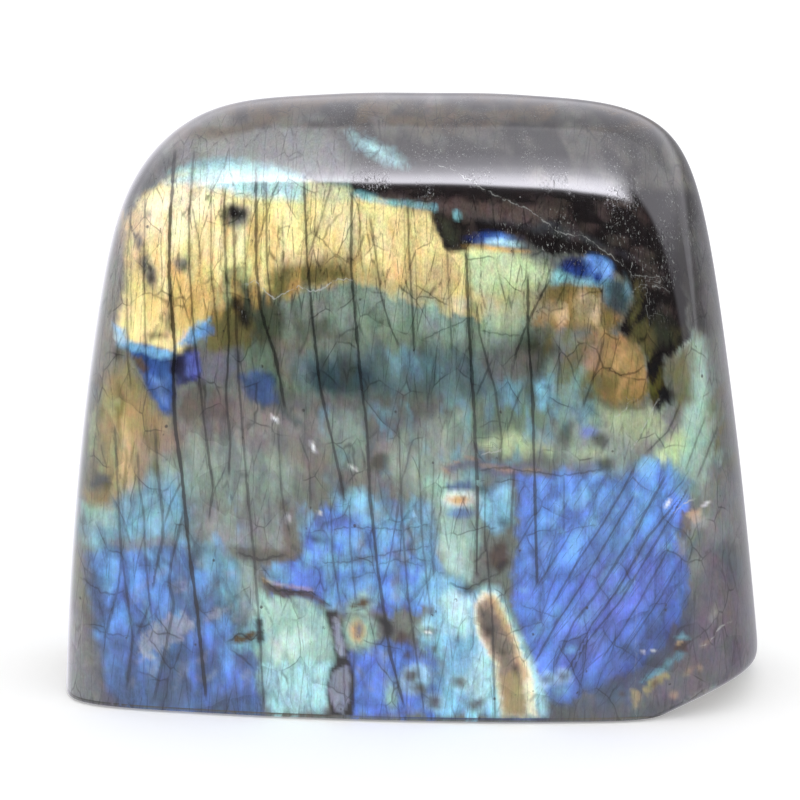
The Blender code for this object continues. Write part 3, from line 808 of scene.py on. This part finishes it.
branches = {
    "gold hair": (1.8, 0.4, (131, 208), (131, 262), (131, 328)),
    "left curl": (3.0, 0.5, (123, 552), (119, 585), (104, 640)),
    "left split": (3.0, 0.5, (181, 481), (169, 508), (163, 528)),
    "left fork": (3.2, 0.5, (184, 508), (178, 535), (172, 560)),
    "gold thin": (1.6, 0.4, (162, 262), (161, 300), (163, 326)),
    "gold fan": (2.0, 0.5, (176, 274), (183, 300), (190, 324)),
    "gold spur": (2.0, 0.5, (192, 206), (198, 236), (201, 262)),
    "sage leaf": (2.2, 0.5, (226, 466), (214, 492), (209, 512)),
    "gold lean": (2.4, 0.55, (279, 179), (266, 215), (257, 246), (254, 272)),
    "peach lean": (2.2, 0.5, (334, 170), (327, 199), (320, 223), (308, 258)),
    "hair first": (1.6, 0.4, (404, 210), (405, 262), (409, 318)),
    "hair second": (1.4, 0.35, (415, 260), (417, 300), (418, 334)),
    "grid lean": (2.2, 0.45, (413, 439), (402, 481), (390, 560), (377, 600)),
    "right twin": (2.0, 0.5, (469, 258), (471, 300), (472, 340)),
    "join": (3.0, 0.55, (492, 360), (484, 378), (476, 396)),
    "cyan lean": (2.4, 0.5, (523, 387), (514, 407), (507, 431)),
    "wedge": (3.6, 0.65, (550, 279), (536, 306), (525, 329), (514, 360)),
    "navy rib": (2.4, 0.5, (568, 272), (563, 290), (556, 304)),
    "navy second": (2.0, 0.45, (585, 262), (580, 280), (574, 296)),
    "copper rib": (2.4, 0.5, (603, 284), (601, 324)),
    "crescent rim": (3.0, 0.55, (680, 405), (668, 431), (646, 453)),
}
slants = {
    "first": (2.4, 0.5, (536, 515), (523, 537), (516, 550)),
    "second": (2.2, 0.5, (574, 526), (563, 546), (536, 588)),
    "third": (2.0, 0.45, (559, 568), (550, 591), (541, 617)),
    "fourth": (3.2, 0.6, (634, 468), (623, 490), (599, 530), (576, 564), (552, 606)),
    "fifth": (2.8, 0.6, (634, 495), (599, 555), (581, 586), (556, 624), (535, 662)),
    "sixth": (4.0, 0.6, (666, 475), (632, 537), (597, 593), (574, 622), (555, 664)),
    "seventh": (3.4, 0.6, (681, 497), (648, 537), (617, 591), (592, 624), (567, 674)),
    "eighth": (3.4, 0.6, (688, 488), (670, 519), (621, 600), (585, 644), (573, 670)),
    "ninth": (2.6, 0.55, (670, 546), (637, 606), (619, 635), (602, 658)),
    "tenth": (2.2, 0.5, (677, 568), (659, 600), (620, 658)),
    "flash first": (2.4, 0.5, (705, 418), (690, 458), (686, 470)),
    "flash second": (2.4, 0.5, (717, 428), (703, 464), (697, 478)),
}

# Cracks that run across, given from left to right, and the pale glints of open ones.
levels = {
    "left arc": (2.4, 0.5, (81, 577), (100, 591), (113, 596), (124, 590)),
    "left low": (2.0, 0.45, (92, 626), (103, 633), (130, 636)),
    "inclusion trail": (3.0, 0.6, (238, 553), (262, 560), (284, 554)),
    "squiggle": (3.0, 0.7, (228, 642), (240, 634), (252, 640), (262, 628)),
    "brown line": (2.6, 0.7, (264, 580), (276, 590), (294, 592), (312, 592), (330, 606)),
    "grid top": (1.8, 0.45, (330, 530), (350, 527), (400, 530), (430, 524)),
    "grid middle": (1.8, 0.45, (318, 563), (345, 562), (372, 556), (408, 550), (430, 546)),
    "grid low": (1.6, 0.4, (372, 566), (396, 560), (424, 566)),
    "olive arc": (2.2, 0.5, (413, 284), (427, 292), (437, 300), (449, 305)),
    "sage crack": (2.0, 0.45, (424, 340), (440, 330), (462, 322), (472, 312)),
    "sage second": (2.0, 0.4, (478, 330), (500, 334), (522, 336)),
    "shelf crack": (2.0, 0.45, (480, 428), (492, 420), (506, 424)),
    "tan crack": (2.4, 0.6, (607, 369), (622, 376), (634, 373), (644, 366)),
    "brown arc": (2.6, 0.6, (450, 583), (467, 590), (484, 580), (496, 574)),
    "blue top": (2.4, 0.5, (478, 470), (510, 468), (560, 476), (600, 470)),
    "blue crack": (1.6, 0.4, (520, 604), (540, 612), (556, 616)),
    "blue second": (1.6, 0.4, (560, 534), (576, 528), (596, 524)),
}
glints = {
    "hairline": (0.5, 0.5, (426, 159), (456, 172), (490, 193), (523, 207), (546, 222), (557, 232),
        (587, 238), (613, 257), (633, 275), (667, 278)),
    "shoulder fork": (0.6, 0.45, (633, 292), (642, 285), (656, 286), (668, 291)),
    "shoulder hair": (0.6, 0.5, (640, 290), (652, 282), (662, 280)),
    "sage rim": (1.0, 0.6, (247, 285), (255, 281), (273, 299), (285, 293), (299, 286), (308, 291),
        (320, 291), (332, 281), (350, 279)),
    "crescent": (2.6, 0.5, (632, 450), (645, 425), (657, 400)),
    "tan cleft": (2.4, 0.5, (618, 416), (626, 408), (632, 398)),
    "chip": (2.0, 0.6, (676, 512), (684, 504), (693, 499)),
    "streak": (2.6, 0.45, (703, 646), (709, 641), (715, 635), (719, 628), (729, 621)),
    "ledge": (2.0, 0.4, (480, 456), (490, 452), (504, 450)),
}


seamStyle = {
    "perPixel": 0.1,                  # a line's number grows by this much for each pixel off it
    "fade": 12,                       # pixels over which a line dies out at its ends
    "rowStep": 2.0,
    "clearance": 12,                  # pixels that a line keeps from those of rows it isn't in
    "mostOff": 0.48,
    "halfWidth": 0.3,                 # of a line's dark core, for each pixel of its width
    "core": (-0.3, 0.8),              # pixels past that over which the core ends
    "shadow": (0.3, 4.8),             # and over which its soft shadow ends
    "families": {"uprightSeams": uprights, "branchSeams": branches, "slantSeams": slants,
                 "levelSeams": levels, "glintSeams": glints},
    "across": ("levelSeams", "glintSeams"),
}


# A numbered field over the picture: its value is a whole number on each line of a family, in
# order from left to right, so the shader finds the nearest line and how far off it is.
def seamField(x, y, seams):
    rows = np.arange(0.0, picture["side"], seamStyle["rowStep"])
    count = len(seams)
    order = np.arange(count)
    places = np.zeros((len(rows), count))
    presence = np.zeros((len(rows), count))
    for number, (width, dark, *line) in enumerate(seams.values()):
        lineX, lineY = np.array(line, float).T
        places[:, number] = np.interp(rows, lineY, lineX)
        ends = np.minimum(rows - lineY[0], lineY[-1] - rows)
        presence[:, number] = eased(ends / seamStyle["fade"] + 0.5)
    for row, there in enumerate(presence > 0):
        if there.any():               # lines that aren't in this row keep clear of those that are
            near = np.interp(order, order[there], places[row, there])
            far = np.maximum(order - order[there][-1], 0) - np.maximum(order[there][0] - order, 0)
            places[row] = np.where(there, places[row], near + far * seamStyle["clearance"])
    spots = np.stack([np.interp(y, rows, column) for column in places.T], axis=1)
    off = x[:, None] - spots
    nearest = np.abs(off).argmin(axis=1)
    here = np.arange(len(x))
    most = seamStyle["mostOff"]
    value = nearest + np.clip(off[here, nearest] * seamStyle["perPixel"], -most, most)
    widths, darks = np.array([seam[:2] for seam in seams.values()]).T
    shares = np.stack([np.interp(y, rows, column) for column in presence.T], axis=1)[here, nearest]
    return np.stack([value, widths[nearest], darks[nearest] * shares], axis=1)


# Where the front's picture doesn't reach, the body is grey-green with flashes of its own.
flanks = {
    "body": ((50, 52, 46), (84, 78, 66)),
    "play": ((34, 56, 120), (70, 112, 190), (92, 142, 156), (122, 140, 112), (176, 148, 84)),
    "slant": (0.6, 0.15),             # how far depth shifts the pattern to the side and up
    "hueSpread": 3.2,
    "hueMiddle": 1.6,
    "hueRise": 330,                   # pixels of height for one step towards gold
    "patchEdge": 4,
    "patchShare": 0.45,
    "rags": 0.35,
    "backShare": 0.9,
    "sideShare": 0.4,
}


def paintFlanks(places, normals):
    across, through, up = (places / picture["pixel"]).T
    sideways, upwards = flanks["slant"]
    x, y = across + sideways * through, up + upwards * through
    dark, pale = [linear(*tint) for tint in flanks["body"]]
    tone = eased(grain(x, y, "flank body") + 0.5)[:, None]
    colours = dark + (pale - dark) * tone
    stops = np.array([linear(*tint) for tint in flanks["play"]])
    hue = grain(x, y, "flank hue") * flanks["hueSpread"] + flanks["hueMiddle"] + y / flanks["hueRise"]
    hue = np.clip(hue, 0, len(stops) - 1)
    play = np.stack([np.interp(hue, range(len(stops)), channel) for channel in stops.T], axis=1)
    lit = grain(x, y, "flank patches") * flanks["patchEdge"] + flanks["patchShare"]
    lit = eased(lit + flanks["rags"] * grain(x, y, "flank rags"))
    share = flanks["sideShare"] + (flanks["backShare"] - flanks["sideShare"]) * eased(normals[:, 1] * 2)
    return colours + (play - colours) * (lit * share)[:, None]


skin = {
    "pictureEdge": 0.2,               # how far the skin has to face the eye to carry the picture
    "seamEdge": 0.25,
    "baseEdge": 4 * mm,               # below this the back carries nothing of the picture
    "hazeStart": 352,                 # the light that the polish adds over the lower front
    "hazeFull": 445,
    "haze": (0.042, 0.042, 0.047),
    "darkest": 0.006,
    "sortDarkest": 0.02,              # colours much darker than this are neither blue nor warm
    "blueFrom": 0.3,
    "warmFrom": 0.2,
}


def recordPoints(mesh, name, values):
    layer = mesh.attributes.new(name, "FLOAT_VECTOR", "POINT")
    layer.data.foreach_set("vector", values.ravel())


def paintStone(mesh):
    count = len(mesh.vertices)
    places, normals = np.empty(count * 3), np.empty(count * 3)
    mesh.vertices.foreach_get("co", places)
    mesh.vertices.foreach_get("normal", normals)
    places, normals = places.reshape(-1, 3), normals.reshape(-1, 3)
    x, y = spotsOf(places)
    facingEye = normals @ pictureAxes()[2]
    seen = eased(facingEye / skin["pictureEdge"])
    seen[(places[:, 2] < skin["baseEdge"]) & (places[:, 1] > 0)] = 0
    front = paintFront(x, y)
    thick = eased((y - skin["hazeStart"]) / (skin["hazeFull"] - skin["hazeStart"]))
    front = np.maximum(front - thick[:, None] * skin["haze"], skin["darkest"])
    colours = paintFlanks(places, normals)
    colours += (front - colours) * seen[:, None]
    strong = colours.max(axis=1) + skin["sortDarkest"]
    blueness = (colours[:, 2] - colours[:, 0]) / strong * 2
    blue, warm = eased(blueness - skin["blueFrom"]), eased(-blueness - skin["warmFrom"])
    flash = mesh.color_attributes.new("flash", "FLOAT_COLOR", "POINT")
    flash.data.foreach_set("color", np.column_stack([colours, np.ones(count)]).ravel())
    recordPoints(mesh, "kinds", np.column_stack([blue, warm, seen]))
    across = eased(np.abs(facingEye) / skin["seamEdge"])
    for name, seams in seamStyle["families"].items():
        if name in seamStyle["across"]:
            turned = {key: (*seam[:2], *(spot[::-1] for spot in seam[2:])) for key, seam in seams.items()}
            field = seamField(y, x, turned)
        else:
            field = seamField(x, y, seams)
        field[:, 2] *= across
        recordPoints(mesh, name, field)


# Shader maths as plain expressions: a wire is one socket, and an expression on wires adds nodes.
class Wire:
    def __init__(self, tree, socket=None):
        self.tree = tree
        self.socket = socket

    def add(self, kind, settings=None, sockets=None, out=0):
        node = self.tree.nodes.new(kind)
        for name, value in (settings or {}).items():
            if name == "stops":
                self.setStops(node.color_ramp, value)
            else:
                setattr(node, name, value)
        for name, value in (sockets or {}).items():
            if isinstance(value, Wire):
                self.tree.links.new(value.socket, node.inputs[name])
            else:
                node.inputs[name].default_value = value
        return Wire(self.tree, node.outputs[out] if node.outputs else None)

    def setStops(self, ramp, stops):
        while len(ramp.elements) < len(stops):
            ramp.elements.new(0.5)
        for element, (place, colour) in zip(ramp.elements, stops):
            element.position = place
            element.color = colour if isinstance(colour, tuple) else (colour, colour, colour, 1)

    def math(self, operation, *values):
        return self.add("ShaderNodeMath", {"operation": operation}, dict(enumerate(values)))

    def __add__(self, other):
        return self.math("ADD", self, other)

    __radd__ = __add__

    def __sub__(self, other):
        return self.math("SUBTRACT", self, other)

    def __rsub__(self, other):
        return self.math("SUBTRACT", other, self)

    def __mul__(self, other):
        return self.math("MULTIPLY", self, other)

    __rmul__ = __mul__

    def __truediv__(self, other):
        return self.math("DIVIDE", self, other)

    def step(self, start, end):       # 0 before start, 1 past end, smooth between
        settings = {"interpolation_type": "SMOOTHSTEP"}
        return self.add("ShaderNodeMapRange", settings, {0: self, 1: start, 2: end})

    def part(self, axis):
        return self.add("ShaderNodeSeparateXYZ", None, {0: self}, "XYZ".index(axis))

    def mixed(self, other, factor):   # this colour, or the other where factor is 1
        sockets = {0: factor, 6: self, 7: other}
        return self.add("ShaderNodeMix", {"data_type": "RGBA"}, sockets, 2)

    def bent(self, other, factor):    # this place, moved by that share towards the other
        sockets = {0: factor, 4: self, 5: other}
        return self.add("ShaderNodeMix", {"data_type": "VECTOR", "factor_mode": "UNIFORM"}, sockets, 1)

    def noise(self, detail, roughness, out=0):
        sockets = {"Vector": self, "Scale": 1.0, "Detail": detail, "Roughness": roughness}
        return self.add("ShaderNodeTexNoise", None, sockets, out)

    def cells(self, feature="F1", out="Distance"):
        return self.add("ShaderNodeTexVoronoi", {"feature": feature}, {"Vector": self, "Scale": 1.0}, out)


# The material's patterns: size across, through and down the stone in pixels, then the detail and
# the roughness of those that are noise.
patterns = {
    "drift": (26, 26, 40, 2, 0.5),
    "fibre": (1.7, 3.5, 70, 3, 0.6),
    "mottle": (7, 7, 11, 4, 0.65),
    "veins": (34, 34, 50, 2, 0.5),
    "wobble": (9, 9, 18, 2, 0.5),
    "jitter": (6, 6, 9, 2, 0.5),
    "grain": (1.6, 1.6, 3.2, 2, 0.6),
    "pearl": (4.5, 4.5, 8, 3, 0.6),
    "hairs": (1.3, 1.3, 17, 2, 0.7),
    "worn": (1.8, 1.8, 20, 3, 0.7),
    "panes": (15, 15, 23),
    "slivers": (9, 40, 90),
    "chipGlints": (11, 11, 15),
    "dots": (17, 17, 19),
}

# Pairs are the values between which a pattern goes from nothing to full.
finish = {
    "roughness": 0.07,
    "ior": 1.56,
    "right": (14 * mm, 22 * mm),
    "high": (62 * mm, 74 * mm),
    "fibre": 0.44,                    # how strongly the fine lamellae streak the colour
    "grain": 0.4,
    "grainHigh": 0.5,                 # more of it where the stone is high
    "mottle": 0.8,
    "mottleWarm": 0.4,                # less of it where the colour is warm
    "pane": 0.3,                      # how much one pane of the crystal differs from the next
    "paneBend": 0.45,
    "paneRim": (0.02, 0.3),
    "paneRimBlue": 0.4,               # how much darker a pane is at its rim where it is blue
    "paneMiddle": 0.7,
    "crack": 0.5,
    "crackWidth": (0.0, 0.035),
    "crackWhere": (0.46, 0.62),
    "sliver": 0.4,
    "sliverHigh": 0.2,
    "sliverLeans": (-4, -34),         # degrees, and for the blue at the right
    "sliverBend": 0.16,
    "sliverWidth": (0.0, 0.05),
    "sliverWhere": (0.4, 0.56),
    "seamLoose": {"uprightSeams": 1.6, "branchSeams": 3, "slantSeams": 2, "levelSeams": 6},
    "seamShade": 0.3,
    "glintLoose": 8,
    "glintShade": 0.06,
    "glintWhere": (0.36, 0.54),
    "pearl": 0.3,
    "pearlBase": 0.89,
    "hairWidth": (0.6, 0.68),
    "hairWhere": (0.44, 0.56),
    "hair": 0.4,
    "dim": (0.03, 0.09),              # hairs show only on colours darker than this
    # the painted glints on small chips: their size and strength
    "speckSize": (0.03, 0.07),
    "speck": 0.5,
    "dotSize": (0.06, 0.13),
    "dot": 0.8,
    "dustAndGlintWhere": (0.5, 0.6),
    "dotColour": (0.02, 0.018, 0.015, 1),
    "paleColour": (0.5, 0.52, 0.5, 1),
    "wornWhere": (0.45, 0.6),
    "wornHeight": (0.54, 0.74),
    "wornStrength": 0.3,
    "wornDepth": 0.04 * mm,
}


def scaled(place, name):              # the places on which a pattern's cells are one unit large
    sizes = [1 / (size * picture["pixel"]) for size in patterns[name][:3]]
    return place.add("ShaderNodeMapping", {"vector_type": "POINT"}, {0: place, 3: sizes})


def noiseOf(place, name, out=0):
    return scaled(place, name).noise(*patterns[name][3:], out)


def seamMask(name, wobble, jitter, shade):        # how dark the lines of one family are
    field = wobble.add("ShaderNodeAttribute", {"attribute_name": name}, out="Vector")
    value, width, dark = field.part("X") + jitter, field.part("Y"), field.part("Z")
    off = value.math("ABSOLUTE", value - value.math("ROUND", value)) / seamStyle["perPixel"]
    past = off - width * wobble * seamStyle["halfWidth"]
    core, shadow = past.step(*seamStyle["core"]), past.step(*seamStyle["shadow"])
    return dark * (1 - (1 - shade) * core - shade * shadow)


def placedLines(place):               # the named cleavage lines, and the glints of open cracks
    wobble = 2 * noiseOf(place, "wobble")
    jitter = (noiseOf(place, "jitter") - 0.5) * seamStyle["perPixel"]
    seams = 0
    for name, loose in finish["seamLoose"].items():
        mask = seamMask(name, wobble, jitter * loose, finish["seamShade"])
        seams = mask.math("MAXIMUM", seams, mask)
    return seams, seamMask("glintSeams", wobble, jitter * finish["glintLoose"], finish["glintShade"])


def hairlines(place, drift, blueRight):           # fine cleavage between the named lines
    slivers = 0
    for lean, where in zip(finish["sliverLeans"], (1 - blueRight, blueRight)):
        turn = {0: place, 2: (0, radians(lean), 0)}
        leant = place.add("ShaderNodeMapping", {"vector_type": "POINT"}, turn)
        near = scaled(leant, "slivers").bent(drift, finish["sliverBend"]).cells("DISTANCE_TO_EDGE")
        slivers = slivers + (1 - near.step(*finish["sliverWidth"])) * where
    return slivers


def dustedAndGlinted(colour, flash, place, high, mottle, veins, glint):    # dark dots and pale scratches, and painted highlights: pale glints on small chips and along open cracks
    dustAndGlintPatches = mottle.step(*finish["dustAndGlintWhere"])
    dots = (1 - scaled(place, "dots").cells().step(*finish["dotSize"])) * dustAndGlintPatches
    colour = colour.mixed(finish["dotColour"], dots * finish["dot"])
    dim = 1 - flash.add("ShaderNodeRGBToBW", None, {0: flash}).step(*finish["dim"])
    hairs = noiseOf(place, "hairs").step(*finish["hairWidth"]) * veins.step(*finish["hairWhere"])
    # painted highlights: small chips painted pale, as glints where they catch the light
    chipGlints = (1 - scaled(place, "chipGlints").cells().step(*finish["speckSize"])) * dustAndGlintPatches
    pale = hairs * dim * finish["hair"]
    pale = pale.math("MAXIMUM", pale, chipGlints * finish["speck"]) * high
    return colour.mixed(finish["paleColour"], pale.math("MAXIMUM", pale, glint))


def labradoriteMaterial():
    material = bpy.data.materials.new("labradorite polish")
    material.use_nodes = True
    material.node_tree.nodes.clear()
    start = Wire(material.node_tree)
    flash = start.add("ShaderNodeAttribute", {"attribute_name": "flash"})
    kinds = start.add("ShaderNodeAttribute", {"attribute_name": "kinds"}, out="Vector")
    blue, warm, seen = kinds.part("X"), kinds.part("Y"), kinds.part("Z")
    place = start.add("ShaderNodeTexCoord", out="Object")
    right = place.part("X").step(*finish["right"])
    high = place.part("Z").step(*finish["high"])

    mottle, veins = noiseOf(place, "mottle"), noiseOf(place, "veins")
    drift = noiseOf(place, "drift", 1)
    bent = scaled(place, "panes").bent(drift, finish["paneBend"])
    panes, rims = bent.cells(out="Color").part("X"), bent.cells("DISTANCE_TO_EDGE")
    crack = (1 - rims.step(*finish["crackWidth"])) * veins.step(*finish["crackWhere"])
    slivers = hairlines(place, drift, blue * right) * mottle.step(*finish["sliverWhere"])
    seams, glint = placedLines(place)
    glint = glint * seen * mottle.step(*finish["glintWhere"])

    tone = 1 + (noiseOf(place, "fibre") - 0.5) * finish["fibre"]
    tone = tone + (noiseOf(place, "grain") - 0.5) * (finish["grain"] + finish["grainHigh"] * high)
    tone = tone + (mottle - 0.5) * (finish["mottle"] - finish["mottleWarm"] * warm)
    tone = tone + (panes - 0.5) * finish["pane"]
    tone = tone + blue * (rims.step(*finish["paneRim"]) - finish["paneMiddle"]) * finish["paneRimBlue"]
    tone = tone * (1 - crack * finish["crack"]) * (1 - seams)
    tone = tone * (1 - slivers * (finish["sliver"] + finish["sliverHigh"] * high))
    spread, base = [(finish[name],) * 3 for name in ("pearl", "pearlBase")]
    pearl = start.add("ShaderNodeVectorMath", {"operation": "MULTIPLY_ADD"},
                      {0: noiseOf(place, "pearl", 1), 1: spread, 2: base})
    colour = start.add("ShaderNodeVectorMath", {"operation": "MULTIPLY"}, {0: flash, 1: pearl})
    colour = start.add("ShaderNodeVectorMath", {"operation": "SCALE"}, {0: colour, "Scale": tone})

    worn = start.add("ShaderNodeBump", None, {
        "Strength": finish["wornStrength"] * high * veins.step(*finish["wornWhere"]),
        "Distance": -finish["wornDepth"],
        "Height": noiseOf(place, "worn").step(*finish["wornHeight"]),
    })
    surface = start.add("ShaderNodeBsdfPrincipled", None, {
        "Base Color": dustedAndGlinted(colour, flash, place, high, mottle, veins, glint),
        "Roughness": finish["roughness"],
        "IOR": finish["ior"],
        "Normal": worn,
    })
    start.add("ShaderNodeOutputMaterial", None, {"Surface": surface})
    return material


def dressStone():
    mesh = stoneMesh()
    stone = bpy.data.objects.new("polished_stone", mesh)
    bpy.context.scene.collection.objects.link(stone)
    paintStone(mesh)
    mesh.materials.append(labradoriteMaterial())
    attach(stone, "root")
    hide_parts("labradorite_stone")
    return stone


# The studio. What the polish mirrors depends only on the direction: a white panel overhead,
# pale walls at the sides, a dark room in front and a white table. Angles are in degrees, along
# the way from the front horizon over the top (90) to the back horizon (180), or to the side.
studio = {
    "backdropLeft": 1.3,
    "backdropRight": 0.5,
    "backdropTurn": (-0.3, 0.3),      # from left to right, as a share of the direction
    "backdropTop": (12, 32),          # rise over which the backdrop turns into the overhead
    "backdropStart": (88, 112),       # swing from the front to the backdrop
    "overhead": 2.0,
    "overheadStart": (92, 100),
    "overheadEnd": (150, 172),
    "panelFrontEdge": 36.0,
    "panelFrontSoft": (-1.2, 0.6),
    "panelBackEdge": (98, 102),
    "panelHalfWidth": 27.0,
    "panelSideSoft": (-6, 6),
    "panelSlant": 0.2,
    "panelSlantEnd": 10,              # to the right of this the front edge runs level
    "panelGlow": ((36, 18), (40, 14), (44, 8.5), (50, 5.2), (60, 3.6), (90, 3.0), (99, 3.6)),
    "room": 0.12,
    "table": 1.2,
    "tableTurn": (60, 110),           # swing over which the table takes the backdrop's light
    "tableEdge": (-2, 4),
    "wallLow": 1.05,
    "wallHigh": 2.6,
    "wallRise": (9, 22),
    "wallStart": (67, 73),
    "wallLean": 0.95,
    "mirrored": (0.985, 0.97, 1.06, 1),  # the mirrored lamps are a little cooler than the room
    "floorRadius": 4.0,
    "floorCorners": 96,
    "floorColour": (0.9, 0.9, 0.9, 1),
    "floorGlow": 0.25,
    "floorDrop": 0.05 * mm,
}


def buildWorld():
    world = bpy.data.worlds.new("white studio")
    bpy.context.scene.world = world
    world.use_nodes = True
    world.cycles.sampling_method = "NONE"
    tree = world.node_tree
    tree.nodes.clear()
    start = Wire(tree)
    way = start.add("ShaderNodeTexCoord")
    x, y, z = way.part("X"), way.part("Y"), way.part("Z")
    over = z.math("ARCTAN2", z, y * -1) * degrees(1)
    side = x.math("ARCSINE", x) * degrees(1)
    swing = x.math("ABSOLUTE", x.math("ARCTAN2", x, y * -1)) * degrees(1)
    rise = z.math("ARCSINE", z) * degrees(1)

    wall = studio["wallLow"] + (studio["wallHigh"] - studio["wallLow"]) * rise.step(*studio["wallRise"])
    front = wall * (swing + rise * studio["wallLean"]).step(*studio["wallStart"]) + studio["room"]
    turn = (studio["backdropRight"] - studio["backdropLeft"]) * x.step(*studio["backdropTurn"])
    back = studio["backdropLeft"] + turn
    back = back + (studio["overhead"] - back) * rise.step(*studio["backdropTop"])
    light = front + (back - front) * swing.step(*studio["backdropStart"])

    brightest = max(glow for angle, glow in studio["panelGlow"])
    stops = [(angle / 180, glow / brightest) for angle, glow in studio["panelGlow"]]
    glow = start.add("ShaderNodeValToRGB", {"stops": stops}, {0: over / 180}) * brightest
    slanted = over + side.math("MINIMUM", side, studio["panelSlantEnd"]) * studio["panelSlant"]
    soft = [studio["panelFrontEdge"] + angle for angle in studio["panelFrontSoft"]]
    inPanel = slanted.step(*soft) * (1 - over.step(*studio["panelBackEdge"]))
    soft = [studio["panelHalfWidth"] + angle for angle in studio["panelSideSoft"]]
    inPanel = inPanel * (1 - side.math("ABSOLUTE", side).step(*soft))
    light = light + (glow - light) * inPanel
    overhead = over.step(*studio["overheadStart"]) * (1 - over.step(*studio["overheadEnd"]))
    light = light + (studio["overhead"] - light) * overhead

    table = studio["table"] + (back - studio["table"]) * swing.step(*studio["tableTurn"])
    light = light + (table - light) * (1 - over.math("MINIMUM", over, rise).step(*studio["tableEdge"]))

    path = start.add("ShaderNodeLightPath", out="Is Glossy Ray")
    white = start.add("ShaderNodeCombineColor", None, {0: 1.0, 1: 1.0, 2: 1.0})
    tint = white.mixed(studio["mirrored"], path)
    background = start.add("ShaderNodeBackground", None, {0: tint, 1: 1 + (light - 1) * path})
    start.add("ShaderNodeOutputWorld", None, {"Surface": background})


def buildFloor():
    mesh = bpy.data.meshes.new("pale floor")
    bm = bmesh.new()
    corners = studio["floorCorners"]
    bmesh.ops.create_circle(bm, cap_ends=True, segments=corners, radius=studio["floorRadius"])
    bm.to_mesh(mesh)
    bm.free()
    material = bpy.data.materials.new("matt white")
    material.use_nodes = True
    shader = material.node_tree.nodes["Principled BSDF"]
    shader.inputs["Base Color"].default_value = studio["floorColour"]
    shader.inputs["Roughness"].default_value = 1.0
    shader.inputs["Specular IOR Level"].default_value = 0.0
    shader.inputs["Emission Color"].default_value = (1, 1, 1, 1)
    shader.inputs["Emission Strength"].default_value = studio["floorGlow"]
    mesh.materials.append(material)
    floor = bpy.data.objects.new("pale_floor", mesh)
    floor.location.z = -studio["floorDrop"]
    floor.visible_glossy = False        # the polish takes its floor from the world's table
    bpy.context.scene.collection.objects.link(floor)


def buildCamera():
    camera = bpy.data.cameras.new("picture camera")
    camera.sensor_width = picture["sensor"]
    half = picture["side"] / 2 * picture["pixel"] / picture["distance"]
    camera.lens = picture["sensor"] / 2 / half
    eye = bpy.data.objects.new("picture_camera", camera)
    back = Vector(pictureAxes()[2])
    eye.location = picture["target"] + back * picture["distance"]
    eye.rotation_euler = (-back).to_track_quat("-Z", "Y").to_euler()
    bpy.context.scene.collection.objects.link(eye)
    bpy.context.scene.camera = eye


buildCamera()
print("camera set")
dressStone()
print("stone ground and dressed")
buildWorld()
buildFloor()
bpy.context.scene.view_settings.view_transform = "Standard"
print("studio lit")
